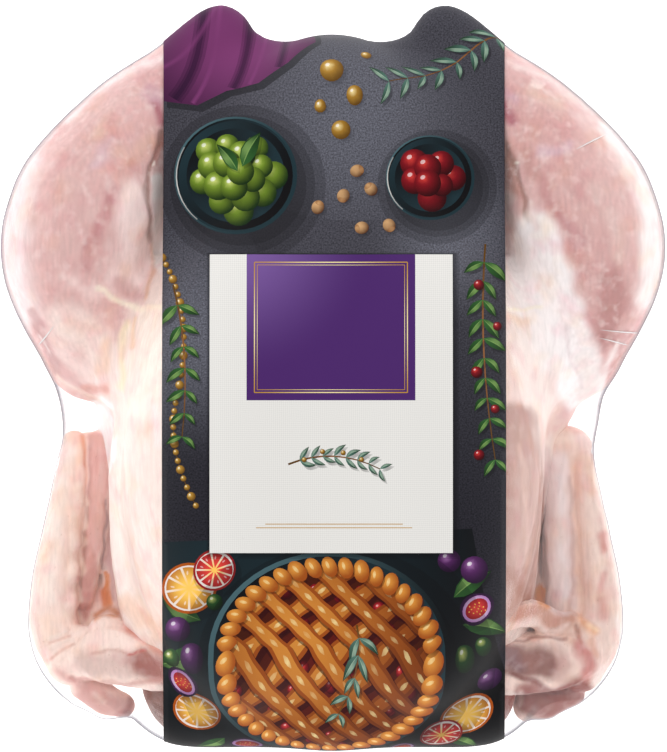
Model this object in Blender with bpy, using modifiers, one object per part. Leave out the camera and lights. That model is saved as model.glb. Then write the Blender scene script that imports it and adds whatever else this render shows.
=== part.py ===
"""Whole raw turkey, lying on its back and shrunk into a clear film bag, with a printed band over its breast.

+X runs across the bird, +Y points to its drumstick ends and +Z up, out of its breast.
The origin is at the middle of the footprint, on the surface that the pack rests on.
The closed pack can't be seen into, so the bag is one solid with the form of the film over the bird.
"""
import bmesh
import bpy
from mathutils import Matrix, Vector

# Driving dimensions, in metres
FILM_CLEARANCE = 0.0006
BAND_HALF_WIDTH = 0.0755
BAND_CENTRE_X = 0.0009
BAND_THICKNESS = 0.0006
BAND_GAP = 0.0003
BAND_END_HEIGHT = 0.016

# How finely the shapes are worked out, and how hard the film pulls
TORSO_VOXEL = 0.004
TORSO_SOFTENING = 34
BIRD_VOXEL = 0.0028
BIRD_SOFTENING = 10
FILM_VOXEL = 0.0055
TENSION_ROUNDS = 40
TENSION_STEPS = 9
SUCTION = 0.0004
BAG_TRIANGLES = 5600

# Body masses on the middle line, or one of a pair, as (centre, radii)
RIB_CAGE = ((0.0, 0.000, 0.062), (0.084, 0.138, 0.070))
BACK = ((0.0, -0.008, 0.046), (0.106, 0.136, 0.048))
BREAST_LOBE = ((0.036, -0.034, 0.090), (0.058, 0.114, 0.070))
BELLY = ((0.0, 0.076, 0.064), (0.070, 0.074, 0.056))
TAIL = ((0.0, 0.134, 0.040), (0.030, 0.018, 0.024))
FLANK_SKIN = ((0.080, 0.016, 0.078), (0.034, 0.036, 0.026))
FLANK_LOBE = ((0.103, -0.008, 0.058), (0.015, 0.034, 0.024))

# Ridges and limbs, as (out from the middle line, along, up, radius) at each station
KEEL = (
    (0.0, -0.110, 0.098, 0.030),
    (0.0, -0.045, 0.126, 0.031),
    (0.0, 0.030, 0.109, 0.036),
    (0.0, 0.082, 0.084, 0.036),
)
NECK_SKIN = (
    (-0.062, -0.1300, 0.053, 0.0340),
    (0.000, -0.1230, 0.068, 0.0425),
    (0.061, -0.1300, 0.053, 0.0340),
)
DRUMSTICK = (
    (0.0485, 0.1505, 0.060, 0.0140),
    (0.0640, 0.1340, 0.064, 0.0165),
    (0.0860, 0.1080, 0.070, 0.0265),
    (0.1035, 0.0780, 0.076, 0.0355),
    (0.1110, 0.0560, 0.078, 0.0345),
    (0.1070, 0.0330, 0.072, 0.0310),
    (0.1020, 0.0140, 0.064, 0.0255),
)
THIGH = (
    (0.0990, 0.0240, 0.047, 0.0320),
    (0.0980, 0.0450, 0.044, 0.0370),
    (0.0780, 0.0700, 0.041, 0.0380),
    (0.0500, 0.0800, 0.040, 0.0380),
)
UPPER_ARM = (
    (0.1120, -0.1255, 0.054, 0.0150),
    (0.0938, -0.1240, 0.062, 0.0150),
    (0.0748, -0.1255, 0.070, 0.0155),
    (0.0550, -0.1200, 0.076, 0.0170),
)
WING_EDGE = (
    (0.1137, -0.0300, 0.056, 0.0062),
    (0.1145, -0.0456, 0.057, 0.0086),
    (0.1175, -0.0660, 0.057, 0.0100),
    (0.1225, -0.0985, 0.056, 0.0112),
    (0.1205, -0.1180, 0.054, 0.0125),
    (0.1150, -0.1270, 0.053, 0.0130),
)
FOREARM = (
    (0.0990, -0.0330, 0.052, 0.0090),
    (0.1005, -0.0600, 0.053, 0.0090),
    (0.1035, -0.0830, 0.052, 0.0080),
    (0.1080, -0.1080, 0.050, 0.0080),
)
WING_ROOT = (
    (0.1010, -0.0400, 0.040, 0.0160),
    (0.1070, -0.0800, 0.038, 0.0200),
    (0.1080, -0.1130, 0.038, 0.0220),
    (0.0850, -0.1230, 0.042, 0.0260),
)
WING_TIP = (
    (0.1130, -0.1340, 0.045, 0.0100),
    (0.0985, -0.1432, 0.043, 0.0090),
)
LEG = (DRUMSTICK, THIGH)
WING = (UPPER_ARM, WING_EDGE, FOREARM, WING_ROOT, WING_TIP)

# The wing on +X is folded closer to the breast than the one on -X, and its leg stands out further
WING_TUCK = {-1: 0.0, 1: 0.0055}
LEG_TUCK = {-1: -0.0005, 1: -0.0013}


def clear_scene():
    for obj in list(bpy.data.objects):
        bpy.data.objects.remove(obj)


def collection(name):
    made = bpy.data.collections.new(name)
    bpy.context.scene.collection.children.link(made)
    return made


def principled(name, colour, roughness):
    made = bpy.data.materials.new(name)
    made.use_nodes = True
    shader = made.node_tree.nodes["Principled BSDF"]
    shader.inputs["Base Color"].default_value = (*colour, 1.0)
    shader.inputs["Roughness"].default_value = roughness
    shader.inputs["Metallic"].default_value = 0.0
    return made


def added(name, mesh):
    made = bpy.data.objects.new(name, mesh)
    bpy.context.scene.collection.objects.link(made)
    return made


def evaluated_mesh(obj):
    bpy.context.view_layer.update()
    graph = bpy.context.evaluated_depsgraph_get()
    return bpy.data.meshes.new_from_object(obj.evaluated_get(graph))


def worked_in(obj, name):
    """Replaces an object by a plain mesh that has its modifiers worked in."""
    made = added(name, evaluated_mesh(obj))
    bpy.data.objects.remove(obj)
    return made


def ellipsoid(centre, radii):
    bpy.ops.mesh.primitive_uv_sphere_add(segments=48, ring_count=24, radius=1.0, location=centre)
    made = bpy.context.object
    made.scale = radii
    bpy.ops.object.transform_apply(location=True, rotation=False, scale=True)
    return made


def limb(stations):
    """A round limb through its stations, each with its own radius, and a ball on each end."""
    data = bpy.data.curves.new("limb", "CURVE")
    data.dimensions = "3D"
    data.bevel_depth = 1.0
    data.bevel_resolution = 6
    data.resolution_u = 10
    data.use_fill_caps = True
    spline = data.splines.new("BEZIER")
    spline.bezier_points.add(len(stations) - 1)
    for point, (x, y, z, radius) in zip(spline.bezier_points, stations):
        point.co = (x, y, z)
        point.radius = radius
        point.handle_left_type = point.handle_right_type = "AUTO"
    tube = worked_in(added("limb", data), "limb")
    work = bmesh.new()
    work.from_mesh(tube.data)
    bmesh.ops.remove_doubles(work, verts=work.verts, dist=0.00001)
    work.to_mesh(tube.data)
    work.free()
    balls = [ellipsoid((x, y, z), (radius, radius, radius)) for x, y, z, radius in (stations[0], stations[-1])]
    return [tube, *balls]


def on_side(stations, side, tuck):
    return [(side * (x - tuck), y, z, radius) for x, y, z, radius in stations]


def melted(pieces, name, voxel, softening):
    """One skin over all the pieces, softened where they meet."""
    bpy.ops.object.select_all(action="DESELECT")
    for piece in pieces:
        piece.select_set(True)
    bpy.context.view_layer.objects.active = pieces[0]
    bpy.ops.object.join()
    joined = bpy.context.object
    melt = joined.modifiers.new("Melt", "REMESH")
    melt.mode = "VOXEL"
    melt.voxel_size = voxel
    soften = joined.modifiers.new("Soften", "SMOOTH")
    soften.factor = 0.5
    soften.iterations = softening
    return worked_in(joined, name)


def torso():
    """Rib cage, breast, belly and tail, run together into one plump body."""
    pieces = [ellipsoid(*mass) for mass in (RIB_CAGE, BACK, BELLY, TAIL)]
    pieces += limb(KEEL) + limb(NECK_SKIN)
    for (x, y, z), radii in (BREAST_LOBE, FLANK_SKIN):
        pieces += [ellipsoid((side * x, y, z), radii) for side in (-1, 1)]
    return melted(pieces, "torso", TORSO_VOXEL, TORSO_SOFTENING)


def bird_form():
    """The whole bird: its torso, the lobe of flank that shows on +X only, two legs and two folded wings."""
    pieces = [torso(), ellipsoid(*FLANK_LOBE)]
    for side in (-1, 1):
        for stations in LEG:
            pieces += limb(on_side(stations, side, LEG_TUCK[side]))
        for stations in WING:
            pieces += limb(on_side(stations, side, WING_TUCK[side]))
    return flattened(melted(pieces, "bird", BIRD_VOXEL, BIRD_SOFTENING))


def flattened(obj):
    """Cuts off what lies below the floor and closes the cut with a flat face."""
    work = bmesh.new()
    work.from_mesh(obj.data)
    everything = work.verts[:] + work.edges[:] + work.faces[:]
    cut = bmesh.ops.bisect_plane(work, geom=everything, plane_co=(0, 0, 0), plane_no=(0, 0, -1), clear_outer=True)
    rim = [item for item in cut["geom_cut"] if isinstance(item, bmesh.types.BMEdge)]
    bmesh.ops.triangle_fill(work, edges=rim, use_beauty=True)
    bmesh.ops.recalc_face_normals(work, faces=work.faces)
    work.to_mesh(obj.data)
    work.free()
    return obj


def loose_bag(bird):
    """The convex shell that the bag makes round the bird before it shrinks."""
    work = bmesh.new()
    work.from_mesh(bird.data)
    found = bmesh.ops.convex_hull(work, input=work.verts)
    shell = {item for item in found["geom"] if isinstance(item, bmesh.types.BMFace)}
    bmesh.ops.delete(work, geom=[face for face in work.faces if face not in shell], context="FACES")
    bmesh.ops.recalc_face_normals(work, faces=work.faces)
    mesh = bpy.data.meshes.new("loose_bag")
    work.to_mesh(mesh)
    work.free()
    return added("loose_bag", mesh)


def shrunk_film(bird):
    """The bag drawn tight: it spans the clefts between the lobes that it touches, and stays outside the bird."""
    film = loose_bag(bird)
    even = film.modifiers.new("Even", "REMESH")
    even.mode = "VOXEL"
    even.voxel_size = FILM_VOXEL
    for _ in range(TENSION_ROUNDS):
        tension = film.modifiers.new("Tension", "SMOOTH")
        tension.factor = 0.5
        tension.iterations = TENSION_STEPS
        suction = film.modifiers.new("Suction", "DISPLACE")
        suction.strength = -SUCTION
        suction.mid_level = 0.0
        contact = film.modifiers.new("Contact", "SHRINKWRAP")
        contact.target = bird
        contact.wrap_method = "NEAREST_SURFACEPOINT"
        contact.wrap_mode = "OUTSIDE"
        contact.offset = FILM_CLEARANCE
    return worked_in(film, "film")


def bagged_turkey(film):
    """The film's form with few enough faces, cut flat where the pack rests."""
    thin = film.modifiers.new("Fewer_faces", "DECIMATE")
    thin.ratio = BAG_TRIANGLES / (2 * len(film.data.polygons))
    thin.use_collapse_triangulate = True
    return flattened(worked_in(film, "bagged_turkey"))


def printed_band(bag):
    """A skin over the bag's own faces, across the breast and over both ends, which stops clear of the floor."""
    work = bmesh.new()
    work.from_mesh(bag.data)
    edges = (
        ((BAND_CENTRE_X - BAND_HALF_WIDTH, 0, 0), (-1, 0, 0)),
        ((BAND_CENTRE_X + BAND_HALF_WIDTH, 0, 0), (1, 0, 0)),
        ((0, 0, BAND_END_HEIGHT), (0, 0, -1)),
    )
    for point, outward in edges:
        everything = work.verts[:] + work.edges[:] + work.faces[:]
        bmesh.ops.bisect_plane(work, geom=everything, plane_co=point, plane_no=outward, clear_outer=True)
    mesh = bpy.data.meshes.new("printed_band")
    work.to_mesh(mesh)
    work.free()
    band = added("printed_band", mesh)
    lift = band.modifiers.new("Gap", "DISPLACE")
    lift.strength = BAND_GAP
    lift.mid_level = 0.0
    skin = band.modifiers.new("Skin", "SOLIDIFY")
    skin.thickness = BAND_THICKNESS
    skin.offset = 1.0
    return band


def centred(obj):
    """Moves the mesh so that the middle of its footprint is the origin."""
    corners = [Vector(corner) for corner in obj.bound_box]
    middle = sum(corners, Vector()) / len(corners)
    obj.data.transform(Matrix.Translation((-middle.x, -middle.y, 0)))
    return obj


def finished(obj, target, material):
    for holder in list(obj.users_collection):
        holder.objects.unlink(obj)
    target.objects.link(obj)
    obj.data.materials.clear()
    obj.data.materials.append(material)
    obj.data.shade_smooth()


def main():
    clear_scene()
    pack = collection("raw_turkey_pack")
    bird = bird_form()
    bag = centred(bagged_turkey(shrunk_film(bird)))
    bpy.data.objects.remove(bird)
    band = printed_band(bag)
    finished(bag, pack, principled("raw_poultry_in_film", (0.78, 0.53, 0.47), 0.25))
    finished(band, pack, principled("printed_film", (0.07, 0.07, 0.09), 0.35))


if __name__ == "__main__":
    main()
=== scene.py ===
"""The dressed look of a whole raw turkey in a clear shrink bag with a printed band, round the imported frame.

Lengths are millimetres in the classes below, and metres once a mesh is made.
+X runs across the bird, +Y points to its drumstick ends and +Z up, out of its breast.
"""

import logging
import math
import random
from dataclasses import dataclass, field
from enum import Enum
from functools import partial
from typing import Sequence

import bmesh
import bpy
import numpy as np
from mathutils import Matrix, Vector, noise
from mathutils.bvhtree import BVHTree
from mathutils.geometry import delaunay_2d_cdt


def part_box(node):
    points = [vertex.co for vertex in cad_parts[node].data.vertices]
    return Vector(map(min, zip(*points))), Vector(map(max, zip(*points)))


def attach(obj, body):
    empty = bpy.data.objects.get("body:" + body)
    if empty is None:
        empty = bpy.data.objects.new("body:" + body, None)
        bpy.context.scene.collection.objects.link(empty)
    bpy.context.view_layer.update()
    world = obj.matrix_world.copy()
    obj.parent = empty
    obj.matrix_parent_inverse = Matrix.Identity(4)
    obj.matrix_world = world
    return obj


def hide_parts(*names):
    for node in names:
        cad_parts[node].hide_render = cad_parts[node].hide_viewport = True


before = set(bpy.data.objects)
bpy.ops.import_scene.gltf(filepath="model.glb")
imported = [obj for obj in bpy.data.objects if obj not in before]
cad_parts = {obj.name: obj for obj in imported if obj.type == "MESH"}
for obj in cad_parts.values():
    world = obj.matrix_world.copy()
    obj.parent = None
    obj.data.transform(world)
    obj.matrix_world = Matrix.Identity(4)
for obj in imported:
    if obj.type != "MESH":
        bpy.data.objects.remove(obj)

LOG = logging.getLogger("raw_turkey_pack")
MM = 0.001
GOLDEN_ANGLE = 2.39996

Point = tuple[float, float]
Station = tuple[float, float, float, float]
Mass = tuple[tuple[float, float, float], tuple[float, float, float]]


class Side(Enum):
    """The two sides of the bird, by the sign of X."""

    LEFT = -1
    RIGHT = 1


def linear(hex_tone: str) -> tuple[float, float, float]:
    """Turns an sRGB hex colour into linear light.

    Args:
        hex_tone: The colour as "#RRGGBB".

    Returns:
        Red, green and blue from 0 to 1, linear.
    """
    shares = [int(hex_tone[i:i + 2], 16) / 255 for i in (1, 3, 5)]
    return tuple(c / 12.92 if c <= 0.04045 else ((c + 0.055) / 1.055) ** 2.4 for c in shares)


def smooth_step(low: float, high: float, value: np.ndarray) -> np.ndarray:
    """Eases from 0 at low to 1 at high.

    Args:
        low: Where the ramp starts.
        high: Where the ramp ends.
        value: The values to ease.

    Returns:
        Shares from 0 to 1.
    """
    t = np.clip((value - low) / (high - low), 0.0, 1.0)
    return t * t * (3 - 2 * t)


def path_distance(points: np.ndarray, path: Sequence[Sequence[float]]) -> np.ndarray:
    """Distance from each point to a path of straight runs.

    Args:
        points: An array of points, one a row.
        path: The path's corners, with as many coordinates as the points.

    Returns:
        One distance for each point.
    """
    corners = np.array(path, float)
    nearest = np.linalg.norm(points - corners[0], axis=1)
    for start, end in zip(corners[:-1], corners[1:]):
        run = end - start
        share = np.clip(((points - start) @ run) / max(run @ run, 1e-12), 0.0, 1.0)
        nearest = np.minimum(nearest, np.linalg.norm(points - start - share[:, None] * run, axis=1))
    return nearest


def wander(points: np.ndarray, grain: float, seed: float) -> np.ndarray:
    """Smooth noise from about -1 to 1, read at each point.

    Args:
        points: Places in millimetres, one a row, with three coordinates.
        grain: The size of the noise's lumps in millimetres.
        seed: Moves the noise, so that two calls differ.

    Returns:
        One value for each point.
    """
    shifted = points / grain + seed * 17.31
    return np.array([noise.noise(Vector(row)) for row in shifted])


def coordinates(mesh: bpy.types.Mesh) -> np.ndarray:
    """The mesh's vertices in millimetres, one a row."""
    flat = np.empty(len(mesh.vertices) * 3, np.float32)
    mesh.vertices.foreach_get("co", flat)
    return flat.reshape(-1, 3).astype(float) / MM


def normals(mesh: bpy.types.Mesh) -> np.ndarray:
    """The mesh's vertex normals, one a row."""
    flat = np.empty(len(mesh.vertices) * 3, np.float32)
    mesh.vertices.foreach_get("normal", flat)
    return flat.reshape(-1, 3).astype(float)


def place_vertices(mesh: bpy.types.Mesh, places: np.ndarray) -> None:
    """Moves the mesh's vertices.

    Args:
        mesh: The mesh to change.
        places: The new places in millimetres, one a row.
    """
    mesh.vertices.foreach_set("co", (places * MM).astype(np.float32).ravel())
    mesh.update()


def inside(ring: np.ndarray, points: np.ndarray) -> np.ndarray:
    """Finds the points that lie within an outline.

    Args:
        ring: The outline's corners, in order.
        points: The points, one a row.

    Returns:
        The numbers of the points inside.
    """
    near = np.nonzero(((points > ring.min(axis=0)) & (points < ring.max(axis=0))).all(axis=1))[0]
    u, v = points[near, :1], points[near, 1:]
    start, end = ring, np.roll(ring, -1, axis=0)
    crossed = (start[:, 1] > v) != (end[:, 1] > v)
    rise = np.where(end[:, 1] == start[:, 1], 1.0, end[:, 1] - start[:, 1])
    crossing = start[:, 0] + (v - start[:, 1]) / rise * (end[:, 0] - start[:, 0])
    return near[(crossed & (u < crossing)).sum(axis=1) % 2 == 1]


def added(name: str, data: bpy.types.ID) -> bpy.types.Object:
    """Puts a mesh or curve in the scene as a new object.

    Args:
        name: The object's name.
        data: The mesh or curve.

    Returns:
        The new object.
    """
    made = bpy.data.objects.new(name, data)
    bpy.context.scene.collection.objects.link(made)
    return made


def worked_in(obj: bpy.types.Object, name: str) -> bpy.types.Object:
    """Replaces an object by a plain mesh that has its modifiers worked in.

    Args:
        obj: The object with modifiers, which is removed.
        name: The new object's name.

    Returns:
        The plain mesh object.
    """
    bpy.context.view_layer.update()
    graph = bpy.context.evaluated_depsgraph_get()
    mesh = bpy.data.meshes.new_from_object(obj.evaluated_get(graph))
    bpy.data.objects.remove(obj)
    return added(name, mesh)


def add_node(
    tree: bpy.types.NodeTree,
    kind: str,
    settings: dict[str, object] | None = None,
    inputs: dict[str | int, object] | None = None,
) -> bpy.types.Node:
    """Adds a node with its settings, values and links.

    Args:
        tree: The tree that the node goes in.
        kind: The node's type name.
        settings: Properties of the node itself.
        inputs: For each input, by name or number, a value or the output socket to link.

    Returns:
        The new node.
    """
    node = tree.nodes.new(kind)
    for name, value in (settings or {}).items():
        setattr(node, name, value)
    for key, value in (inputs or {}).items():
        if isinstance(value, bpy.types.NodeSocket):
            tree.links.new(value, node.inputs[key])
        else:
            node.inputs[key].default_value = value
    return node


def ramp(node: bpy.types.Node, stops: Sequence[tuple[float, Sequence[float]]]) -> None:
    """Sets a colour ramp's stops.

    Args:
        node: The Color Ramp node.
        stops: Each stop's place and linear colour.
    """
    elements = node.color_ramp.elements
    while len(elements) > 1:
        elements.remove(elements[-1])
    elements[0].position = stops[0][0]
    for place, _ in stops[1:]:
        elements.new(place)
    for element, (_, colour) in zip(elements, stops):
        element.color = (*colour, 1.0) if len(colour) == 3 else tuple(colour)


def new_material(name: str) -> tuple[bpy.types.Material, bpy.types.NodeTree, bpy.types.Node]:
    """Makes a material with an empty tree.

    Args:
        name: The material's name.

    Returns:
        The material, its tree and its output node.
    """
    made = bpy.data.materials.new(name)
    made.use_nodes = True
    tree = made.node_tree
    tree.nodes.clear()
    return made, tree, add_node(tree, "ShaderNodeOutputMaterial")


class Clay:
    """The sculptor's moves: lumps, limbs, and melting them into one skin."""

    @staticmethod
    def lump(mass: Mass) -> bpy.types.Object:
        """An ellipsoid.

        Args:
            mass: Its centre and its three radii.

        Returns:
            The lump.
        """
        centre, radii = mass
        work = bmesh.new()
        place = Matrix.Translation([c * MM for c in centre])
        scale = Matrix.Diagonal([r * MM for r in radii] + [1.0])
        bmesh.ops.create_uvsphere(work, u_segments=48, v_segments=24, radius=1.0, matrix=place @ scale)
        mesh = bpy.data.meshes.new("lump")
        work.to_mesh(mesh)
        work.free()
        return added("lump", mesh)

    @staticmethod
    def limb(stations: Sequence[Station]) -> list[bpy.types.Object]:
        """A round limb with a ball on each end.

        Args:
            stations: Its places and radii along the way.

        Returns:
            The tube and its two end balls.
        """
        data = bpy.data.curves.new("limb", "CURVE")
        data.dimensions = "3D"
        data.bevel_depth = 1.0
        data.bevel_resolution = 6
        data.resolution_u = 10
        data.use_fill_caps = True
        spline = data.splines.new("BEZIER")
        spline.bezier_points.add(len(stations) - 1)
        for point, (x, y, z, radius) in zip(spline.bezier_points, stations):
            point.co = (x * MM, y * MM, z * MM)
            point.radius = radius * MM
            point.handle_left_type = point.handle_right_type = "AUTO"
        tube = worked_in(added("limb", data), "limb")
        work = bmesh.new()
        work.from_mesh(tube.data)
        bmesh.ops.remove_doubles(work, verts=work.verts, dist=0.00001)
        work.to_mesh(tube.data)
        work.free()
        ends = (stations[0], stations[-1])
        return [tube, *(Clay.lump(((x, y, z), (radius, radius, radius))) for x, y, z, radius in ends)]

    @staticmethod
    def melted(pieces: list[bpy.types.Object], name: str, voxel: float, softening: int) -> bpy.types.Object:
        """One skin over all the pieces, softened where they meet.

        Args:
            pieces: The lumps and limbs, which are used up.
            name: The new object's name.
            voxel: How finely the skin is worked out.
            softening: How many rounds of smoothing follow.

        Returns:
            The skin.
        """
        bpy.ops.object.select_all(action="DESELECT")
        for piece in pieces:
            piece.select_set(True)
        bpy.context.view_layer.objects.active = pieces[0]
        bpy.ops.object.join()
        joined = bpy.context.object
        melt = joined.modifiers.new("Melt", "REMESH")
        melt.mode = "VOXEL"
        melt.voxel_size = voxel * MM
        soften = joined.modifiers.new("Soften", "SMOOTH")
        soften.factor = 0.5
        soften.iterations = softening
        return worked_in(joined, name)

    @staticmethod
    def flattened(obj: bpy.types.Object, floor: float) -> bpy.types.Object:
        """Cuts off what lies below a level and closes the cut with a flat face.

        Args:
            obj: The object to cut.
            floor: The level.

        Returns:
            The same object.
        """
        work = bmesh.new()
        work.from_mesh(obj.data)
        everything = work.verts[:] + work.edges[:] + work.faces[:]
        cut = bmesh.ops.bisect_plane(
            work, geom=everything, plane_co=(0, 0, floor * MM), plane_no=(0, 0, -1), clear_outer=True,
        )
        rim = [item for item in cut["geom_cut"] if isinstance(item, bmesh.types.BMEdge)]
        bmesh.ops.triangle_fill(work, edges=rim, use_beauty=True)
        bmesh.ops.recalc_face_normals(work, faces=work.faces)
        work.to_mesh(obj.data)
        work.free()
        return obj


@dataclass(frozen=True)
class BirdForm:
    """The bird's plain masses, from which the film takes its form, as in the solid that the frame holds."""

    torso_voxel: float = 4.0
    torso_softening: int = 34
    bird_voxel: float = 2.8
    bird_softening: int = 10
    rib_cage: Mass = ((0, 0, 62), (84, 138, 70))
    back: Mass = ((0, -8, 46), (106, 136, 48))
    breast_lobe: Mass = ((36, -34, 90), (58, 114, 70))
    belly: Mass = ((0, 76, 64), (70, 74, 56))
    tail: Mass = ((0, 134, 40), (30, 18, 24))
    flank_skin: Mass = ((80, 16, 78), (34, 36, 26))
    flank_lobe: Mass = ((103, -8, 58), (15, 34, 24))
    keel: tuple[Station, ...] = ((0, -110, 98, 30), (0, -45, 126, 31), (0, 30, 109, 36), (0, 82, 84, 36))
    neck_skin: tuple[Station, ...] = ((-62, -130, 53, 34), (0, -123, 68, 42.5), (61, -130, 53, 34))
    drumstick: tuple[Station, ...] = (
        (48.5, 150.5, 60, 14), (64, 134, 64, 16.5), (86, 108, 70, 26.5), (103.5, 78, 76, 35.5),
        (111, 56, 78, 34.5), (107, 33, 72, 31), (102, 14, 64, 25.5),
    )
    thigh: tuple[Station, ...] = ((99, 24, 47, 32), (98, 45, 44, 37), (78, 70, 41, 38), (50, 80, 40, 38))
    upper_arm: tuple[Station, ...] = (
        (112, -125.5, 54, 15), (93.8, -124, 62, 15), (74.8, -125.5, 70, 15.5), (55, -120, 76, 17),
    )
    wing_edge: tuple[Station, ...] = (
        (113.7, -30, 56, 6.2), (114.5, -45.6, 57, 8.6), (117.5, -66, 57, 10), (122.5, -98.5, 56, 11.2),
        (120.5, -118, 54, 12.5), (115, -127, 53, 13),
    )
    forearm: tuple[Station, ...] = (
        (99, -33, 52, 9), (100.5, -60, 53, 9), (103.5, -83, 52, 8), (108, -108, 50, 8),
    )
    wing_root: tuple[Station, ...] = (
        (101, -40, 40, 16), (107, -80, 38, 20), (108, -113, 38, 22), (85, -123, 42, 26),
    )
    wing_tip: tuple[Station, ...] = ((113, -134, 45, 10), (98.5, -143.2, 43, 9))
    wing_tuck: dict[Side, float] = field(default_factory=lambda: {Side.LEFT: 0.0, Side.RIGHT: 5.5})
    leg_tuck: dict[Side, float] = field(default_factory=lambda: {Side.LEFT: -0.5, Side.RIGHT: -1.3})

    def torso(self, neck_skin: Sequence[Station]) -> bpy.types.Object:
        """Rib cage, breast, belly and tail, run together into one plump body.

        Args:
            neck_skin: The roll of skin over the neck end.

        Returns:
            The torso.
        """
        pieces = [Clay.lump(mass) for mass in (self.rib_cage, self.back, self.belly, self.tail)]
        pieces += Clay.limb(self.keel) + Clay.limb(neck_skin)
        for (x, y, z), radii in (self.breast_lobe, self.flank_skin):
            pieces += [Clay.lump(((side.value * x, y, z), radii)) for side in Side]
        return Clay.melted(pieces, "torso", self.torso_voxel, self.torso_softening)

    def legs(self) -> list[bpy.types.Object]:
        """The lumps of both legs, each a drumstick and a thigh."""
        pieces = []
        for side in Side:
            for stations in (self.drumstick, self.thigh):
                pieces += Clay.limb(self.on_side(stations, side, self.leg_tuck[side]))
        return pieces

    def whole(self) -> bpy.types.Object:
        """The whole bird with its plain wings, flat where it lies."""
        pieces = [self.torso(self.neck_skin), Clay.lump(self.flank_lobe), *self.legs()]
        for side in Side:
            for stations in (self.upper_arm, self.wing_edge, self.forearm, self.wing_root, self.wing_tip):
                pieces += Clay.limb(self.on_side(stations, side, self.wing_tuck[side]))
        return Clay.flattened(Clay.melted(pieces, "bird", self.bird_voxel, self.bird_softening), 0.0)

    @staticmethod
    def on_side(stations: Sequence[Station], side: Side, tuck: float) -> list[Station]:
        """Stations moved to one side of the bird.

        Args:
            stations: The limb's stations, out from the middle line.
            side: The side that it goes to.
            tuck: How far it is pulled in towards the middle line.

        Returns:
            The stations there.
        """
        return [(side.value * (x - tuck), y, z, radius) for x, y, z, radius in stations]


@dataclass(frozen=True)
class ClearShrinkFilm:
    """Clear polyolefin shrink film, blown thin and shrunk with hot air: it hardly shows but for its gloss."""

    name: str = "clear_shrink_film"
    tint: str = "#FFFFFF"
    rim_tint: str = "#AFAFB6"
    rim_start: float = 0.66
    clear_above: float = 99.0
    grey_below: float = 88.0
    haze: float = 0.012
    roughness: float = 0.09
    straight_gloss: float = 0.018
    grazing_gloss: float = 0.2

    def material(self) -> bpy.types.Material:
        """Builds the finish.

        Returns:
            The material, clear where it is seen straight on and greyish where it is seen along its wall.
        """
        made, tree, output = new_material(self.name)
        node = partial(add_node, tree)
        facing = node("ShaderNodeLayerWeight", inputs={"Blend": 0.5}).outputs["Facing"]
        height = node(
            "ShaderNodeSeparateXYZ", inputs={0: node("ShaderNodeTexCoord").outputs["Object"]},
        ).outputs["Z"]
        low = node(
            "ShaderNodeMapRange",
            inputs={
                "Value": height, "From Min": self.grey_below * MM, "From Max": self.clear_above * MM,
                "To Min": 1.0, "To Max": 0.0,
            },
        ).outputs["Result"]
        wall = node("ShaderNodeMath", {"operation": "MULTIPLY"}, {0: facing, 1: low}).outputs[0]
        edge = node("ShaderNodeValToRGB", inputs={"Fac": wall})
        ramp(
            edge,
            ((0.0, linear(self.tint)), (self.rim_start, linear(self.tint)), (1.0, linear(self.rim_tint))),
        )
        clear = node("ShaderNodeBsdfTransparent", inputs={"Color": edge.outputs["Color"]})
        veil = node("ShaderNodeBsdfDiffuse", inputs={"Color": (*linear(self.tint), 1.0)})
        hazy = node("ShaderNodeMixShader", inputs={0: self.haze, 1: clear.outputs[0], 2: veil.outputs[0]})
        shine = node(
            "ShaderNodeBsdfAnisotropic",
            inputs={"Color": (*linear(self.tint), 1.0), "Roughness": self.roughness},
        )
        steep = node("ShaderNodeMath", {"operation": "POWER"}, {0: facing, 1: 7.0}).outputs[0]
        share = node(
            "ShaderNodeMath", {"operation": "MULTIPLY_ADD"},
            {0: steep, 1: self.grazing_gloss, 2: self.straight_gloss},
        )
        glossy = node(
            "ShaderNodeMixShader", inputs={0: share.outputs[0], 1: hazy.outputs[0], 2: shine.outputs[0]},
        )
        tree.links.new(glossy.outputs[0], output.inputs["Surface"])
        return made


@dataclass(frozen=True)
class Speckle:
    """A tone that shows where its noise peaks, as fat and blood do through skin."""

    tone: str
    size: float
    detail: float
    start: float
    full: float
    most: float


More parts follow.
